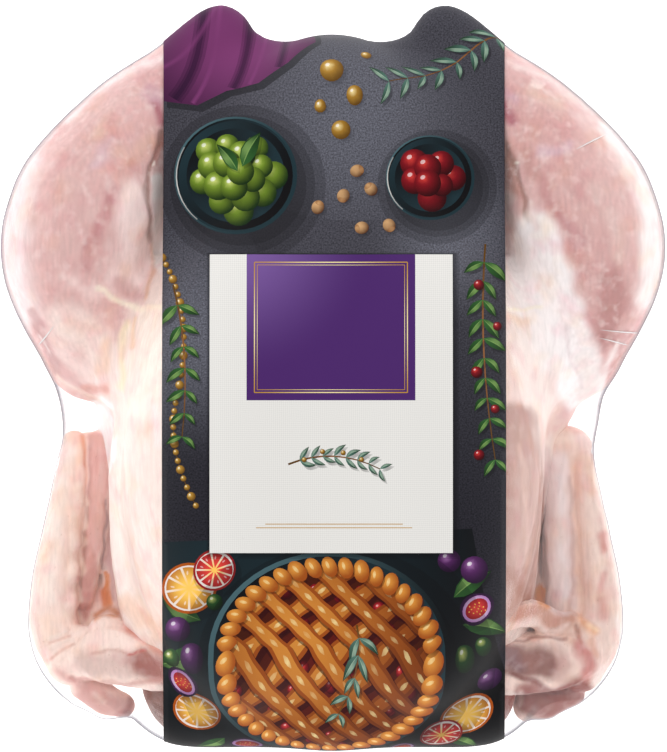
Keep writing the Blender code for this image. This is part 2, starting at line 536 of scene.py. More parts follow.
@dataclass(frozen=True)
class RawPoultrySkin:
    """Raw turkey skin, plucked and wet: soft flesh tones with paler flecks of fat under an even sheen."""

    speckles: tuple[Speckle, ...] = (
        Speckle("#F3DAD6", 5, 2, 0.46, 0.78, 0.50), Speckle("#CE8C8A", 11.5, 3, 0.46, 0.80, 0.38),
    )
    fibre_size: float = 1.6
    streak_size: float = 1.5
    streak_share: float = 0.07
    roughness: float = 0.42
    specular: float = 0.28
    bump: float = 0.25

    def material(self) -> bpy.types.Material:
        """Builds the finish from the skin's painted tone, and from its mottle, which says how flecked it is.

        Returns:
            The material.
        """
        made, tree, output = new_material("raw_poultry_skin")
        node = partial(add_node, tree)
        place = node("ShaderNodeTexCoord").outputs["Object"]
        tone = node("ShaderNodeAttribute", {"attribute_name": "tone"}).outputs["Color"]
        mottle = node("ShaderNodeAttribute", {"attribute_name": "mottle"}).outputs["Fac"]
        for speckle in self.speckles:
            noise = node(
                "ShaderNodeTexNoise",
                inputs={"Vector": place, "Scale": 1 / (speckle.size * MM), "Detail": speckle.detail},
            ).outputs["Fac"]
            peaks = node(
                "ShaderNodeMapRange", {"interpolation_type": "SMOOTHSTEP"},
                {"Value": noise, "From Min": speckle.start, "From Max": speckle.full, "To Max": speckle.most},
            ).outputs["Result"]
            share = node("ShaderNodeMath", {"operation": "MULTIPLY"}, {0: peaks, 1: mottle}).outputs[0]
            tone = node(
                "ShaderNodeMix", {"data_type": "RGBA"}, {0: share, 6: tone, 7: (*linear(speckle.tone), 1.0)},
            ).outputs[2]
        drawn_out = node(
            "ShaderNodeMapping",
            inputs={"Vector": place, "Rotation": (0.0, 0.0, 0.15), "Scale": (1.0, 0.17, 1.0)},
        ).outputs["Vector"]
        streak = node(
            "ShaderNodeTexNoise",
            inputs={"Vector": drawn_out, "Scale": 1 / (self.streak_size * MM), "Detail": 3.0},
        ).outputs["Fac"]
        low, high = 1.0 - self.streak_share, 1.0 + self.streak_share
        shade = node(
            "ShaderNodeMapRange",
            inputs={"Value": streak, "From Min": 0.3, "From Max": 0.7, "To Min": low, "To Max": high},
        ).outputs["Result"]
        streaked = node("ShaderNodeVectorMath", {"operation": "SCALE"}, {0: tone, "Scale": shade})
        fibre = node(
            "ShaderNodeTexNoise",
            inputs={"Vector": place, "Scale": 1 / (self.fibre_size * MM), "Detail": 2.0},
        ).outputs["Fac"]
        relief = node(
            "ShaderNodeBump", inputs={"Strength": self.bump, "Distance": 0.35 * MM, "Height": fibre},
        )
        skin = node(
            "ShaderNodeBsdfPrincipled",
            inputs={
                "Base Color": streaked.outputs["Vector"], "Roughness": self.roughness,
                "Specular IOR Level": self.specular, "Normal": relief.outputs["Normal"],
            },
        )
        tree.links.new(skin.outputs[0], output.inputs["Surface"])
        return made


@dataclass(frozen=True)
class Mark:
    """One patch of tone and relief on the skin, brushed along a path that is seen from above; some patches
    are painted highlights or painted shade.
    """

    path: tuple[Point, ...]
    reach: float
    tone: str
    strength: float = 1.0
    relief: float = 0.0
    core: float = 0.0
    mottle: float | None = None


BODY_MARKS = {
    "left_leg_shade": Mark(
        ((-106.2, 112.8), (-111.5, 86.5), (-114.1, 60.1), (-112.8, 38.2)), 16, "#D6AAA5", 0.55,
    ),
    "left_leg_pink": Mark(((-90.8, 123.8), (-101.8, 112.8)), 11, "#E2BBB6", 0.7),
    "left_leg_top_pale": Mark(
        ((-115, 112.8), (-101.8, 127.7), (-88.6, 134.7), (-75.5, 140)), 4.5, "#F7E6E4", 0.75,
    ),
    # painted highlights: these pale strips stand in for a softbox's reflection in the film along the leg's
    # outer side
    "left_leg_painted_highlight": Mark(
        ((-135.2, 95.2), (-137.8, 82.1), (-139.1, 64.5), (-138.7, 44.8), (-134.3, 27.2)), 11.5, "#F6E8E8",
        0.85, core=0.05, mottle=0.1,
    ),
    "left_leg_painted_highlight_run": Mark(((-126.4, 108.4), (-134.3, 95.2)), 7, "#F6E6E5", 0.7, mottle=0.3),
    "left_leg_rim": Mark(
        ((-132.5, 104), (-140.4, 86.5), (-143.5, 68.9), (-144.4, 53.5), (-142.2, 33.8)), 2.4, "#E9CFD0", 0.75,
    ),
    "left_leg_lilac": Mark(((-96.5, 103.1), (-104, 93)), 5, "#D9BECB", 0.45),
    "left_leg_mauve": Mark(((-79.9, 125.1), (-75.5, 121.6)), 6, "#C79DB0", 0.6),
    "left_leg_bruise": Mark(((-76.4, 118.9), (-75, 112.8)), 4.2, "#A5485A", 0.8),
    "left_leg_peach": Mark(((-93.9, 99.6), (-87.8, 95.2), (-79.9, 103.1)), 5.5, "#DFB09A", 0.5),
    "left_leg_warm": Mark(((-99.6, 112.8), (-102.7, 106.2)), 4, "#E6C0A6", 0.45),
    "left_leg_red_run": Mark(
        ((-95.7, 81.2), (-99.2, 71.1), (-103.1, 63.6), (-106.2, 54.9), (-108.4, 40.4), (-115.9, 31.2)), 4.8,
        "#C58080", 0.55, core=0.15,
    ),
    "left_leg_red_spot_a": Mark(((-97, 77.7), (-96.1, 76.8)), 2.6, "#B4646C", 0.5),
    "left_leg_red_spot_b": Mark(((-102.7, 66.3), (-103.6, 63.6)), 2.4, "#BD6F78", 0.45),
    "left_leg_red_spot_c": Mark(((-107.5, 58.8), (-108, 57.1)), 2.4, "#BD6F74", 0.45),
    "left_leg_end_red": Mark(((-114.1, 37.3), (-119.4, 32.9)), 3.4, "#CE8E88", 0.5),
    "left_leg_low_light": Mark(((-113.2, 40.8), (-105.3, 37.3)), 9, "#F6D8D3", 0.75),
    "inner_lobe": Mark(
        ((-86.5, 77.7), (-86, 62.3), (-86.9, 50.5), (-90, 42.6)), 12, "#FFE4E0", 0.97, core=0.3, mottle=0.25,
    ),
    "inner_lobe_tip": Mark(
        ((-93.9, 40.8), (-88.6, 36.9), (-82.5, 34.2)), 5.2, "#CB9696", 0.7, core=0.1, relief=0.8,
    ),
    "inner_lobe_edge": Mark(((-79, 57.9), (-78.6, 47), (-80.7, 35.1)), 1.8, "#D79E78", 0.7, relief=0.4),
    # painted shade: dark brown laid in the cleft between the leg and the breast, widest at its top
    "leg_cleft": Mark(
        ((-74.6, 108.4), (-77.2, 101.4), (-79.9, 93.9), (-81.2, 84.3), (-80.3, 71.1), (-79, 60.1)), 1.9,
        "#8A5A49", 0.75, core=0.1, relief=-0.7,
    ),
    "leg_cleft_top": Mark(((-75, 105.8), (-76.8, 99.6), (-78.6, 93)), 4.4, "#A9675A", 0.65),
    "film_gap_by_cleft": Mark(
        ((-76.8, 87.3), (-75.9, 71.1), (-75.9, 49.2)), 4, "#EFE6E2", 0.9, core=0.4, mottle=0,
    ),
    "fleck_at_cleft": Mark(((-78.6, 94.8), (-78.6, 93.9)), 1.1, "#FFF6EC", 0.9),
    "flank_cream": Mark(
        ((-80.7, 24.1), (-80.7, 7.5), (-84.3, -10.1)), 13, "#FBEADE", 0.9, core=0.45, mottle=0.1,
    ),
    "flank_pale": Mark(
        ((-116.7, 24.1), (-105.3, 18), (-98.3, 7.5), (-96.5, -3.5)), 14, "#F8E2DA", 0.92, core=0.2,
        mottle=0.25,
    ),
    "flank_pale_low": Mark(((-118.5, 11.9), (-110.6, 4), (-101.8, -3.1)), 7, "#F6DCD6", 0.85, mottle=0.25),
    "fold_line": Mark(
        ((-103.1, 39.5), (-97.4, 35.1), (-90, 31.2), (-82.1, 30.3), (-74.2, 30.7)), 2.3, "#FCECD8", 0.95,
        core=0.2, relief=0.5,
    ),
    "flank_yellow_a": Mark(((-90, 22.8), (-91.7, 9.7), (-92.6, -4.8)), 3.2, "#F8E4BC", 0.75),
    "flank_yellow_b": Mark(((-86, 25.9), (-86.9, 14)), 2, "#F6D7AC", 0.65),
    "flank_peach_a": Mark(((-98.3, 16.2), (-101.4, 2.2)), 4.4, "#EFC4AC", 0.55),
    "flank_peach_b": Mark(((-97.4, 28.5), (-96.5, 22.8)), 4, "#EFC3B4", 0.5),
    "flank_pink": Mark(((-115, 26.8), (-108.4, 20.6)), 5, "#E9BDB6", 0.55),
    "left_low_strip": Mark(((-131.2, 28.5), (-126.4, 15.4), (-120.7, 2.2)), 3.2, "#C69694", 0.75, core=0.3),
    "left_low_strip_film": Mark(((-128.1, 17.1), (-124.6, 11)), 1, "#FBEFEE", 0.6),
    "flank_end_red": Mark(((-108, -3.9), (-104, -6.1), (-99.2, -5.3)), 3.2, "#D98F7E", 0.75, core=0.1),
    "flank_end_rim": Mark(
        ((-119.4, 0.9), (-113.2, -4.8), (-105.3, -8.8), (-96.5, -10.1)), 1.8, "#F7E0D6", 0.7,
    ),
    "breast_left_glow": Mark(((-93.9, -18.9), (-93.9, -54), (-93.9, -97.9)), 7, "#F8E8DF", 0.7),
    "breast_left_peach": Mark(
        ((-92.2, -99.6), (-83.4, -104.9), (-74.2, -111.9)), 6.5, "#EDC1A8", 0.75, core=0.1,
    ),
    "breast_left_blush": Mark(((-79.9, -93.5), (-75.5, -100.1)), 7, "#F4D8C8", 0.6),
    "breast_left_lilac": Mark(((-79, -10.1), (-76.4, -27.6)), 5, "#F8E6E6", 0.5),
    "back_edge_left": Mark(
        ((-101.4, -14.5), (-100.1, -25.5), (-99.6, -37.3)), 6, "#FFFEFE", 0.95, core=0.6, mottle=0,
    ),
    "right_leg_shade": Mark(
        ((89.1, 117.2), (100.1, 90.8), (112.4, 62.3), (120.2, 33.8)), 20, "#D3A29E", 0.75, core=0.3,
    ),
    "right_leg_pink": Mark(((93.5, 126), (113.2, 112.8), (126.4, 90.8)), 9, "#E8C6C2", 0.65),
    "right_leg_top_pale": Mark(((78.1, 138.2), (95.7, 130.3), (115.4, 116.3)), 4, "#F3DEDA", 0.75),
    # painted highlight: this pale strip stands in for a softbox's reflection in the film along the leg's
    # outer side
    "right_leg_painted_highlight": Mark(
        ((120.2, 109.3), (130.8, 96.1), (137.4, 82.1), (140, 64.5), (139.6, 44.8), (137.4, 33.8)), 7.5,
        "#FAF1EF", 0.9, core=0.1, mottle=0.1,
    ),
    "right_leg_rim": Mark(
        ((135.2, 95.2), (141.8, 77.7), (144.4, 60.1), (143.9, 42.6), (139.6, 27.2)), 2.2, "#DDCCCC", 0.7,
    ),
    "right_leg_dark_end": Mark(((122.9, 42.6), (124.2, 31.6), (120.2, 18.4)), 9.5, "#B97F7B", 0.8, core=0.15),
    "right_leg_dark_tip": Mark(((118.1, 17.1), (117.6, 11.9)), 4, "#B47672", 0.75),
    "right_leg_red_a": Mark(((91.7, 85.6), (96.6, 75.5)), 4.4, "#BE7B7A", 0.6),
    "right_leg_red_b": Mark(((100.1, 71.1), (108, 59.2)), 4.6, "#BF7C80", 0.55),
    "right_leg_brown": Mark(((83.4, 98.7), (89.1, 87.3)), 5, "#C08A80", 0.6),
    "right_leg_bruise": Mark(((75, 118.1), (79.4, 111.9)), 4.2, "#A33F58", 0.8),
    "right_leg_lilac_a": Mark(((73.7, 123.8), (79.9, 121.6)), 4.5, "#CBA6BC", 0.55),
    "right_leg_lilac_b": Mark(((91.3, 98.7), (103.6, 101.4)), 4, "#D5B9CB", 0.5),
    "right_leg_peach": Mark(((87.8, 126.8), (99.2, 118.9)), 5, "#E7C2B0", 0.55),
    "right_leg_fleck": Mark(((87.3, 129.5), (91.7, 127.7)), 1.8, "#FFF3EA", 0.85),
    "right_leg_light": Mark(((114.1, 82.1), (122.9, 68.9), (125.5, 53.5)), 6, "#E3C2BB", 0.55),
    # painted shade: dark brown laid in the cleft between the right leg and the breast, with a wider band of
    # it at the cleft's top
    "right_cleft": Mark(
        ((75.9, 101.4), (79, 93.9), (82.1, 85.1), (84.3, 75.5), (84.3, 68)), 2, "#8F5F50", 0.75, core=0.1,
        relief=-0.7,
    ),
    "right_cleft_shade": Mark(((75, 99.6), (77.2, 90.8), (79.9, 82.1)), 5, "#B07A6A", 0.75),
    "right_gap_shade": Mark(((76.4, 77.7), (78.6, 66.7), (77.2, 57.9)), 5.6, "#D2BFB9", 0.75),
    "right_fleck": Mark(((79.9, 94.8), (80.3, 94.4)), 1.1, "#FFF8EE", 0.9),
    "inner_skin": Mark(
        ((88.7, 61.9), (95.7, 40.4), (102.7, 18.4), (108.8, -3.5)), 13.5, "#FFF8F8", 0.97, core=0.55,
        mottle=0.1,
    ),
    "inner_skin_mid": Mark(((79, 50.5), (86, 29.4), (93.5, 7.5)), 12, "#FFF6F4", 0.93, mottle=0.1),
    "right_flank_pale": Mark(((110.6, 6.6), (114.1, -1.3), (113.2, -11)), 8, "#F9ECE8", 0.92, mottle=0.1),
    "inner_skin_top": Mark(((87.3, 75.5), (88.2, 64.5)), 3.2, "#F3DEDC", 0.75),
    "inner_skin_low": Mark(((79, 14), (86.9, -1.3), (94.8, -10.1)), 10, "#F7E6DF", 0.85, mottle=0.12),
    "right_fold_line": Mark(((75.9, 30.3), (84.7, 29.8), (91.7, 29.8)), 1.6, "#FFF4E2", 0.95, relief=0.4),
    "under_fold": Mark(((77.2, 25.9), (85.1, 23.3)), 3.6, "#F4CFB2", 0.6),
    "side_skin_pink": Mark(((76.8, 11.9), (78.6, -7.9), (79.9, -24.1)), 4.5, "#E2BFB8", 0.65),
    "right_low_strip": Mark(((130.3, 18.4), (125.5, 5.7), (118.5, -11)), 3.4, "#CB9290", 0.75, core=0.3),
    "right_low_light": Mark(((125.1, 14.9), (117.6, -2.2)), 2.2, "#FBEDEA", 0.75),
    "skin_grey_line": Mark(((101.8, 22.4), (105.8, 6.6), (109.7, -3.9)), 1.8, "#E4D0D2", 0.5),
    "wing_pit_skin": Mark(((94.8, -15.4), (100.9, -27.6), (105.3, -34.2)), 7, "#F5DAD0", 0.7, mottle=0.1),
    "wedge": Mark(((93.5, -32.9), (94.4, -47.4), (94.4, -62.8)), 5, "#DCC1BC", 0.92, core=0.4, mottle=0.2),
    "knob": Mark(((81.6, -12.3), (84.3, -20.6), (87.3, -30.3)), 3, "#DDA286", 0.85, relief=0.8),
    "breast_right_side": Mark(
        ((80.3, -21.1), (82.9, -45.2), (83.4, -71.5), (81.6, -98.7)), 12.5, "#B08377", 0.92, core=0.6,
        mottle=0.35,
    ),
    "breast_right_light": Mark(((82.5, -31.2), (84.3, -54), (84.3, -80.3)), 3.6, "#D5AFA2", 0.6),
    "breast_right_run_a": Mark(((86.5, -27.6), (88.7, -49.6), (89.5, -73.7)), 1.7, "#C99D92", 0.5),
    "breast_right_run_b": Mark(((79.4, -36.4), (80.8, -62.8), (80.3, -84.7)), 1.5, "#CFA499", 0.45),
    "breast_right_low": Mark(((77.2, -86.9), (83.4, -94.4), (88.7, -100.5)), 6, "#9E614B", 0.7),
    "breast_right_edge": Mark(
        ((83.8, -16.7), (87.8, -27.6), (90.4, -39.9), (92.2, -58.4)), 1.6, "#B98272", 0.65, relief=-0.5,
    ),
    "neck_left": Mark(((-83.4, -137.4), (-77.2, -144.4), (-74.2, -152.3)), 10, "#69321F", 0.97, core=0.6),
    "neck_right": Mark(((75.5, -134.7), (77.7, -143.9), (79, -148.8)), 9, "#7C3226", 0.95, core=0.5),
}

LEFT_WING_MARKS = {
    "outer_light": Mark(
        ((-114.1, -34.2), (-119.4, -56.2), (-122.9, -78.1), (-123.8, -97.9)), 4.6, "#FFECE2", 0.8,
    ),
    "outer_rim": Mark(
        ((-117.6, -32), (-125.5, -59.2), (-129.9, -78.6), (-131.7, -102.3), (-128.1, -119.8)), 2.8, "#EAC9C4",
        0.65,
    ),
    "outer_warm": Mark(((-110.6, -32), (-111.5, -54), (-115, -80.3), (-115.9, -102.3)), 3.2, "#F6CDAE", 0.55),
    "orange_line": Mark(((-109.3, -25.9), (-108.8, -38.6), (-108.8, -50.5)), 2, "#EFA57C", 0.85, relief=-0.3),
    "orange_line_low": Mark(((-111.5, -80.3), (-112.8, -93.5), (-114.1, -107.5)), 2.4, "#F0B791", 0.6),
    "inner_roll": Mark(
        ((-103.1, -28.5), (-102.3, -40.8), (-103.6, -57.5), (-106.2, -75), (-108.8, -92.6), (-110.6, -104.4)),
        5.2, "#E2AAA2", 0.92, core=0.55,
    ),
    "inner_roll_top": Mark(((-106.2, -26.3), (-100.5, -28.5)), 3.2, "#E3AFA0", 0.6),
    "inner_roll_low": Mark(((-105.8, -78.6), (-108, -96.1), (-109.7, -106.6)), 3.2, "#D59286", 0.6),
    "scallop_band": Mark(
        ((-110.6, -40.8), (-111.5, -56.2), (-113.2, -73.7), (-114.1, -89.1), (-115.4, -103.1)), 3.6,
        "#FFE8DC", 0.9, core=0.45,
    ),
    "inner_run_a": Mark(((-105.8, -31.2), (-106.2, -54)), 1.3, "#C18A82", 0.5),
    "inner_run_b": Mark(((-101.4, -32), (-101.4, -54), (-103.6, -73.7)), 1.5, "#E6BCB3", 0.6),
    "inner_run_c": Mark(((-103.1, -27.6), (-102.7, -45.2)), 1.2, "#E2A193", 0.5),
    # painted shadow: a dark line where the scallops overhang the inner roll
    "scallop_painted_shadow": Mark(
        ((-107.5, -53.1), (-109.3, -73.7), (-110.6, -89.1), (-111.9, -103.1)), 1.3, "#B98672", 0.6, core=0.2,
        relief=-0.4,
    ),
    "scallop_5": Mark(((-114.1, -104.4), (-112.8, -108.8)), 3.4, "#FCE3D4", 0.85, core=0.3, relief=0.5),
    "scallop_4": Mark(((-112.8, -93.5), (-111.5, -98.7)), 3.4, "#FCE3D4", 0.85, core=0.3, relief=0.5),
    "scallop_3": Mark(((-112.3, -80.3), (-110.6, -86)), 3.4, "#FCE3D4", 0.85, core=0.3, relief=0.5),
    "scallop_2": Mark(((-111.9, -69.8), (-110.2, -72.4)), 3.4, "#FCE3D4", 0.85, core=0.3, relief=0.5),
    "scallop_1": Mark(((-111, -61), (-109.7, -65.8)), 3.4, "#FCE3D4", 0.85, core=0.3, relief=0.5),
    "scallop_0": Mark(((-110.2, -49.6), (-108.8, -54)), 3.4, "#FCE3D4", 0.85, core=0.3, relief=0.5),
    # painted shade: a dark line in the groove between the inner and the second roll
    "between_rolls_painted_shade": Mark(
        ((-99.2, -54), (-100.5, -71.5), (-100.9, -85.6)), 1.3, "#94646A", 0.75, relief=-0.7,
    ),
    "second_roll": Mark(((-97.4, -40.8), (-97, -62.8), (-97.9, -80.3), (-97, -97.9)), 3, "#CB9B9C", 0.75),
    "second_roll_rim": Mark(
        ((-98.3, -29.8), (-95.7, -45.2), (-95.2, -67.1), (-95.7, -86.9), (-93.9, -103.1)), 1.7, "#EBC2C0",
        0.85,
    ),
    "orange_web": Mark(((-99.8, -87.8), (-99.8, -94.4)), 1.7, "#E58A44", 0.97, core=0.4),
    "orange_web_mid": Mark(((-100.1, -94.4), (-99.6, -100.5)), 3, "#E58A48", 0.97, core=0.4),
    "orange_web_low": Mark(((-103.1, -105.3), (-99.2, -102.7), (-94.8, -104)), 3, "#DB9060", 0.9),
    "upper_arm_skin": Mark(((-108, -126), (-97.4, -126.8), (-87.8, -126)), 8.5, "#D9B9B0", 0.85, core=0.3),
    "upper_arm_ridge": Mark(
        ((-110.6, -115.4), (-101.4, -110.6), (-93, -111.5), (-85.1, -115.4)), 3.6, "#F8DACE", 0.8,
    ),
    "upper_arm_red_ridge": Mark(((-89.5, -110.6), (-81.6, -115.4), (-74.2, -120.7)), 3.6, "#D47E66", 0.85),
    "upper_arm_red_end": Mark(((-82.5, -125.1), (-74.2, -128.6)), 9, "#9A473A", 0.9, core=0.3),
    # painted shade: a darker line along the crease of the upper arm
    "upper_arm_crease_painted_shade": Mark(
        ((-105.3, -120.7), (-97.4, -119.8), (-89.5, -122.4), (-81.6, -120.7)), 1.2, "#C99384", 0.55,
        relief=-0.5,
    ),
    "red_spot_a": Mark(((-89.1, -122), (-86.9, -121.1)), 1.3, "#C0524A", 0.8),
    "red_spot_b": Mark(((-85.1, -121.1), (-81.6, -120.2)), 1.5, "#B9463F", 0.8),
    "upper_arm_low": Mark(
        ((-108.8, -134.7), (-97.4, -135.2), (-88.6, -134.7), (-75.5, -133)), 3, "#C98E84", 0.7,
    ),
    "pleat_a": Mark(((-126.4, -115.4), (-116.7, -111)), 1.4, "#FCE5D9", 0.85, relief=0.9),
    "pleat_b": Mark(((-125.5, -119.8), (-115, -115.9)), 1.4, "#FBE2D6", 0.85, relief=0.9),
    "pleat_c": Mark(((-122.9, -124.6), (-112.3, -120.2)), 1.4, "#FBE0D4", 0.85, relief=0.9),
    # painted shade: darker lines in the gaps between the pleats
    "pleat_gap_a_painted_shade": Mark(((-125.5, -117.6), (-115.9, -113.7)), 1.2, "#DDA795", 0.6, relief=-0.5),
    "pleat_gap_b_painted_shade": Mark(((-123.8, -122.4), (-113.7, -118.5)), 1.2, "#DDA795", 0.6, relief=-0.5),
    "elbow_pink": Mark(((-121.1, -128.6), (-114.1, -134.7), (-108.8, -137.4)), 4.4, "#DEA59C", 0.65),
    "elbow_red": Mark(((-114.1, -133), (-112.3, -134.7)), 2.2, "#C67A74", 0.6),
    "tip_skin": Mark(((-108, -140.4), (-100.1, -143.5), (-93, -146.1)), 9, "#D3968F", 0.9, core=0.3),
    "tip_light": Mark(((-105.3, -140), (-100.9, -142.6)), 2.4, "#EBCFC8", 0.6),
    "tip_rim": Mark(((-88.6, -141.8), (-90, -147.9), (-95.7, -150.5)), 3.4, "#A65F58", 0.8),
}

RIGHT_WING_MARKS = {
    "inner_roll": Mark(
        ((97.9, -37.3), (98.7, -61), (99.6, -82.9), (100.9, -100.5)), 8.2, "#F0DBD9", 0.92, core=0.6,
        mottle=0.15,
    ),
    "inner_roll_light": Mark(((100.1, -44.3), (100.9, -71.5), (102.7, -97.9)), 3.2, "#F3E6E6", 0.7),
    "inner_roll_shade": Mark(((104.9, -44.3), (105.8, -69.3), (105.8, -96.1)), 2, "#CDAAA4", 0.6),
    # painted shade: a dark line along the roll's inner edge, where it meets the breast
    "inner_roll_edge_painted_shade": Mark(
        ((92.2, -39.1), (92.6, -62.8), (93, -80.3), (94.8, -98.7)), 1.5, "#A98A88", 0.7, core=0.2,
        relief=-0.5,
    ),
    "inner_roll_top": Mark(((94.8, -29.8), (103.6, -32)), 6, "#F0CCC2", 0.75),
    "top_pale": Mark(((93.5, -22.4), (109.7, -23.3)), 8.5, "#F7E3DC", 0.92, core=0.3, mottle=0.1),
    "follicle_ridge": Mark(
        ((107.1, -40.8), (108.4, -67.1), (108.8, -93.5), (110.6, -103.1)), 3, "#F2CFBC", 0.7, relief=0.3,
    ),
    "outer_light": Mark(((111.5, -45.2), (114.5, -71.5), (118.5, -97.9)), 5.4, "#FAE2D6", 0.75),
    "outer_warm": Mark(((112.4, -37.3), (114.1, -49.6)), 4.2, "#EFC7AC", 0.6),
    "outer_red_a": Mark(((118.5, -69.3), (119.4, -75.9)), 3.6, "#D58A80", 0.7),
    "outer_red_b": Mark(((119.4, -86.9), (118.9, -93.5)), 3.2, "#D9938A", 0.55),
    "outer_red_c": Mark(((118.9, -97.9), (120.2, -105.8)), 4, "#D18A82", 0.65),
    "outer_rim": Mark(
        ((117.6, -45.2), (122.4, -71.5), (126.4, -93.5), (126.8, -111.9)), 2.6, "#F5E2DC", 0.85,
    ),
    "bump": Mark(((109.3, -106.6), (115, -112.3)), 4, "#F0B083", 0.85, relief=1),
    "bump_light": Mark(((112.8, -109.3), (115.9, -111.9)), 1.8, "#FCD9B8", 0.8),
    # painted shade: dark brown in the hollow beside the bump
    "bump_hollow_painted_shade": Mark(((107.5, -111), (109.7, -116.3)), 1.8, "#B0745F", 0.75, relief=-0.9),
    "orange_web": Mark(((92.2, -94.4), (92.6, -101.4)), 3.2, "#EF9A48", 0.97, core=0.4),
    "upper_arm_skin": Mark(((77.2, -124.2), (85.1, -125.1), (93.9, -126)), 9.5, "#7D4036", 0.9, core=0.4),
    "upper_arm_dark": Mark(((75.9, -120.7), (81.6, -126)), 6, "#7C5C66", 0.65),
    "upper_arm_light": Mark(((98.3, -118.9), (103.6, -125.1), (100.1, -131.2)), 5.5, "#CBA399", 0.75),
    "upper_arm_orange": Mark(((100.1, -111.9), (106.6, -115.4)), 3.4, "#D9A48C", 0.6),
    "ragged_skin": Mark(
        ((75.9, -106.6), (82.5, -103.1), (91.3, -103.6), (100.1, -108), (104.5, -107.5)), 5, "#C58A75", 0.9,
        core=0.25, relief=0.3,
    ),
    "ragged_light": Mark(
        ((80.8, -110.2), (87.8, -109.7), (94.8, -111.5), (102.7, -109.7)), 2.2, "#EBCCC1", 0.8, relief=0.3,
    ),
    "ragged_shadow": Mark(
        ((76.8, -115.4), (84.3, -115.9), (93.9, -114.1), (102.7, -113.7)), 1.5, "#9A6860", 0.7, relief=-0.3,
    ),
    "red_fold": Mark(
        ((108.4, -117.2), (112.8, -122), (114.5, -127.7), (110.6, -134.7)), 4.8, "#C66F6A", 0.85, relief=-0.4,
    ),
    "red_line": Mark(
        ((79, -130.3), (88.7, -134.3), (96.6, -138.2), (107.1, -136.5)), 2.4, "#7A352E", 0.88, core=0.2,
        relief=-0.9,
    ),
    "fold_orange": Mark(((114.1, -116.3), (116.7, -122.4)), 3, "#E3AA92", 0.7),
    "elbow_pale": Mark(((120.2, -127.7), (115, -136.5)), 3.2, "#EFD8D2", 0.75),
    "tip_skin": Mark(
        ((86.9, -141.8), (94.8, -144.4), (101.8, -142.6), (108, -139.1)), 9.5, "#8A362B", 0.97, core=0.5,
    ),
    "tip_light": Mark(((90.4, -141.8), (96.6, -144.4)), 3.2, "#9C665B", 0.6),
    "tip_edge": Mark(((83.4, -138.2), (82.5, -144.4)), 2, "#D9B9B1", 0.6),
}


@dataclass(frozen=True)
class SkinPaint:
    """The colours of the skin, brushed on from its base tones to its smallest marks."""

    breast_tone: str = "#F0DAD1"
    leg_tone: str = "#DFAFAC"
    neck_tone: str = "#B9938A"
    back_tone: str = "#EBCFC4"
    edge_wander: float = 2.2
    drift: float = 0.42
    marks: dict[str, Mark] = field(default_factory=dict)

    def weight(self, mark: Mark, plan: np.ndarray) -> np.ndarray:
        """How strongly a mark lies on each point.

        Args:
            mark: The mark.
            plan: The points, seen from above.

        Returns:
            Shares from 0 to 1.
        """
        distance = path_distance(plan, mark.path)
        return 1.0 - smooth_step(mark.core * mark.reach, mark.reach, distance)

    def wandered(self, places: np.ndarray) -> np.ndarray:
        """The places seen from above, shifted by noise so that no brushed edge is ruled."""
        shift = np.stack([wander(places, 9.0, seed) for seed in (1.0, 2.0)], axis=1)
        return places[:, :2] + shift * self.edge_wander

    def relief(self, places: np.ndarray, facing: np.ndarray) -> np.ndarray:
        """How far the marks raise or sink each point.

        Args:
            places: The points.
            facing: How far each point faces up.

        Returns:
            Heights in millimetres along the normal.
        """
        plan = self.wandered(places)
        height = np.zeros(len(places))
        for mark in self.marks.values():
            if mark.relief:
                height += mark.relief * self.weight(mark, plan)
        return height * smooth_step(-0.1, 0.35, facing)

    def tones(
        self, places: np.ndarray, facing: np.ndarray, base: np.ndarray, mottle: np.ndarray
    ) -> tuple[np.ndarray, np.ndarray]:
        """Lays the marks over the base tones.

        Args:
            places: The points.
            facing: How far each point faces up.
            base: The base tone of each point, linear.
            mottle: How flecked each point is.

        Returns:
            The painted tones and how flecked each point is then.
        """
        plan = self.wandered(places)
        seen = smooth_step(-0.15, 0.25, facing)
        tones, flecks = base.copy(), mottle.copy()
        for mark in self.marks.values():
            share = self.weight(mark, plan) * mark.strength * seen
            tones += (np.array(linear(mark.tone)) - tones) * share[:, None]
            if mark.mottle is not None:
                flecks += (mark.mottle - flecks) * share
        return self.varied(places, tones), flecks

    def varied(self, places: np.ndarray, tones: np.ndarray) -> np.ndarray:
        """Lets the tones drift towards pink and peach in soft patches, as blood and fat show through skin.

        Args:
            places: The points.
            tones: Their tones.

        Returns:
            The tones with their drift.
        """
        pink = np.maximum(wander(places, 9.0, 7.0) + 0.5 * wander(places, 3.5, 8.0), 0.0)
        peach = np.maximum(wander(places, 11.0, 9.0) + 0.4 * wander(places, 4.0, 10.0), 0.0)
        to_pink, to_peach = np.array((0.12, 0.50, 0.42)), np.array((0.04, 0.26, 0.52))
        return tones * (1.0 - self.drift * (pink[:, None] * to_pink + peach[:, None] * to_peach))


def store_tones(mesh: bpy.types.Mesh, tones: np.ndarray, mottle: np.ndarray) -> None:
    """Keeps painted tones on a mesh for its material.

    Args:
        mesh: The mesh.
        tones: A linear colour for each vertex.
        mottle: How flecked each vertex is.
    """
    colours = np.concatenate([np.clip(tones, 0.0, 1.0), np.ones((len(tones), 1))], axis=1)
    mesh.color_attributes.new("tone", "FLOAT_COLOR", "POINT").data.foreach_set(
        "color", colours.astype(np.float32).ravel(),
    )
    mesh.attributes.new("mottle", "FLOAT", "POINT").data.foreach_set("value", mottle.astype(np.float32))


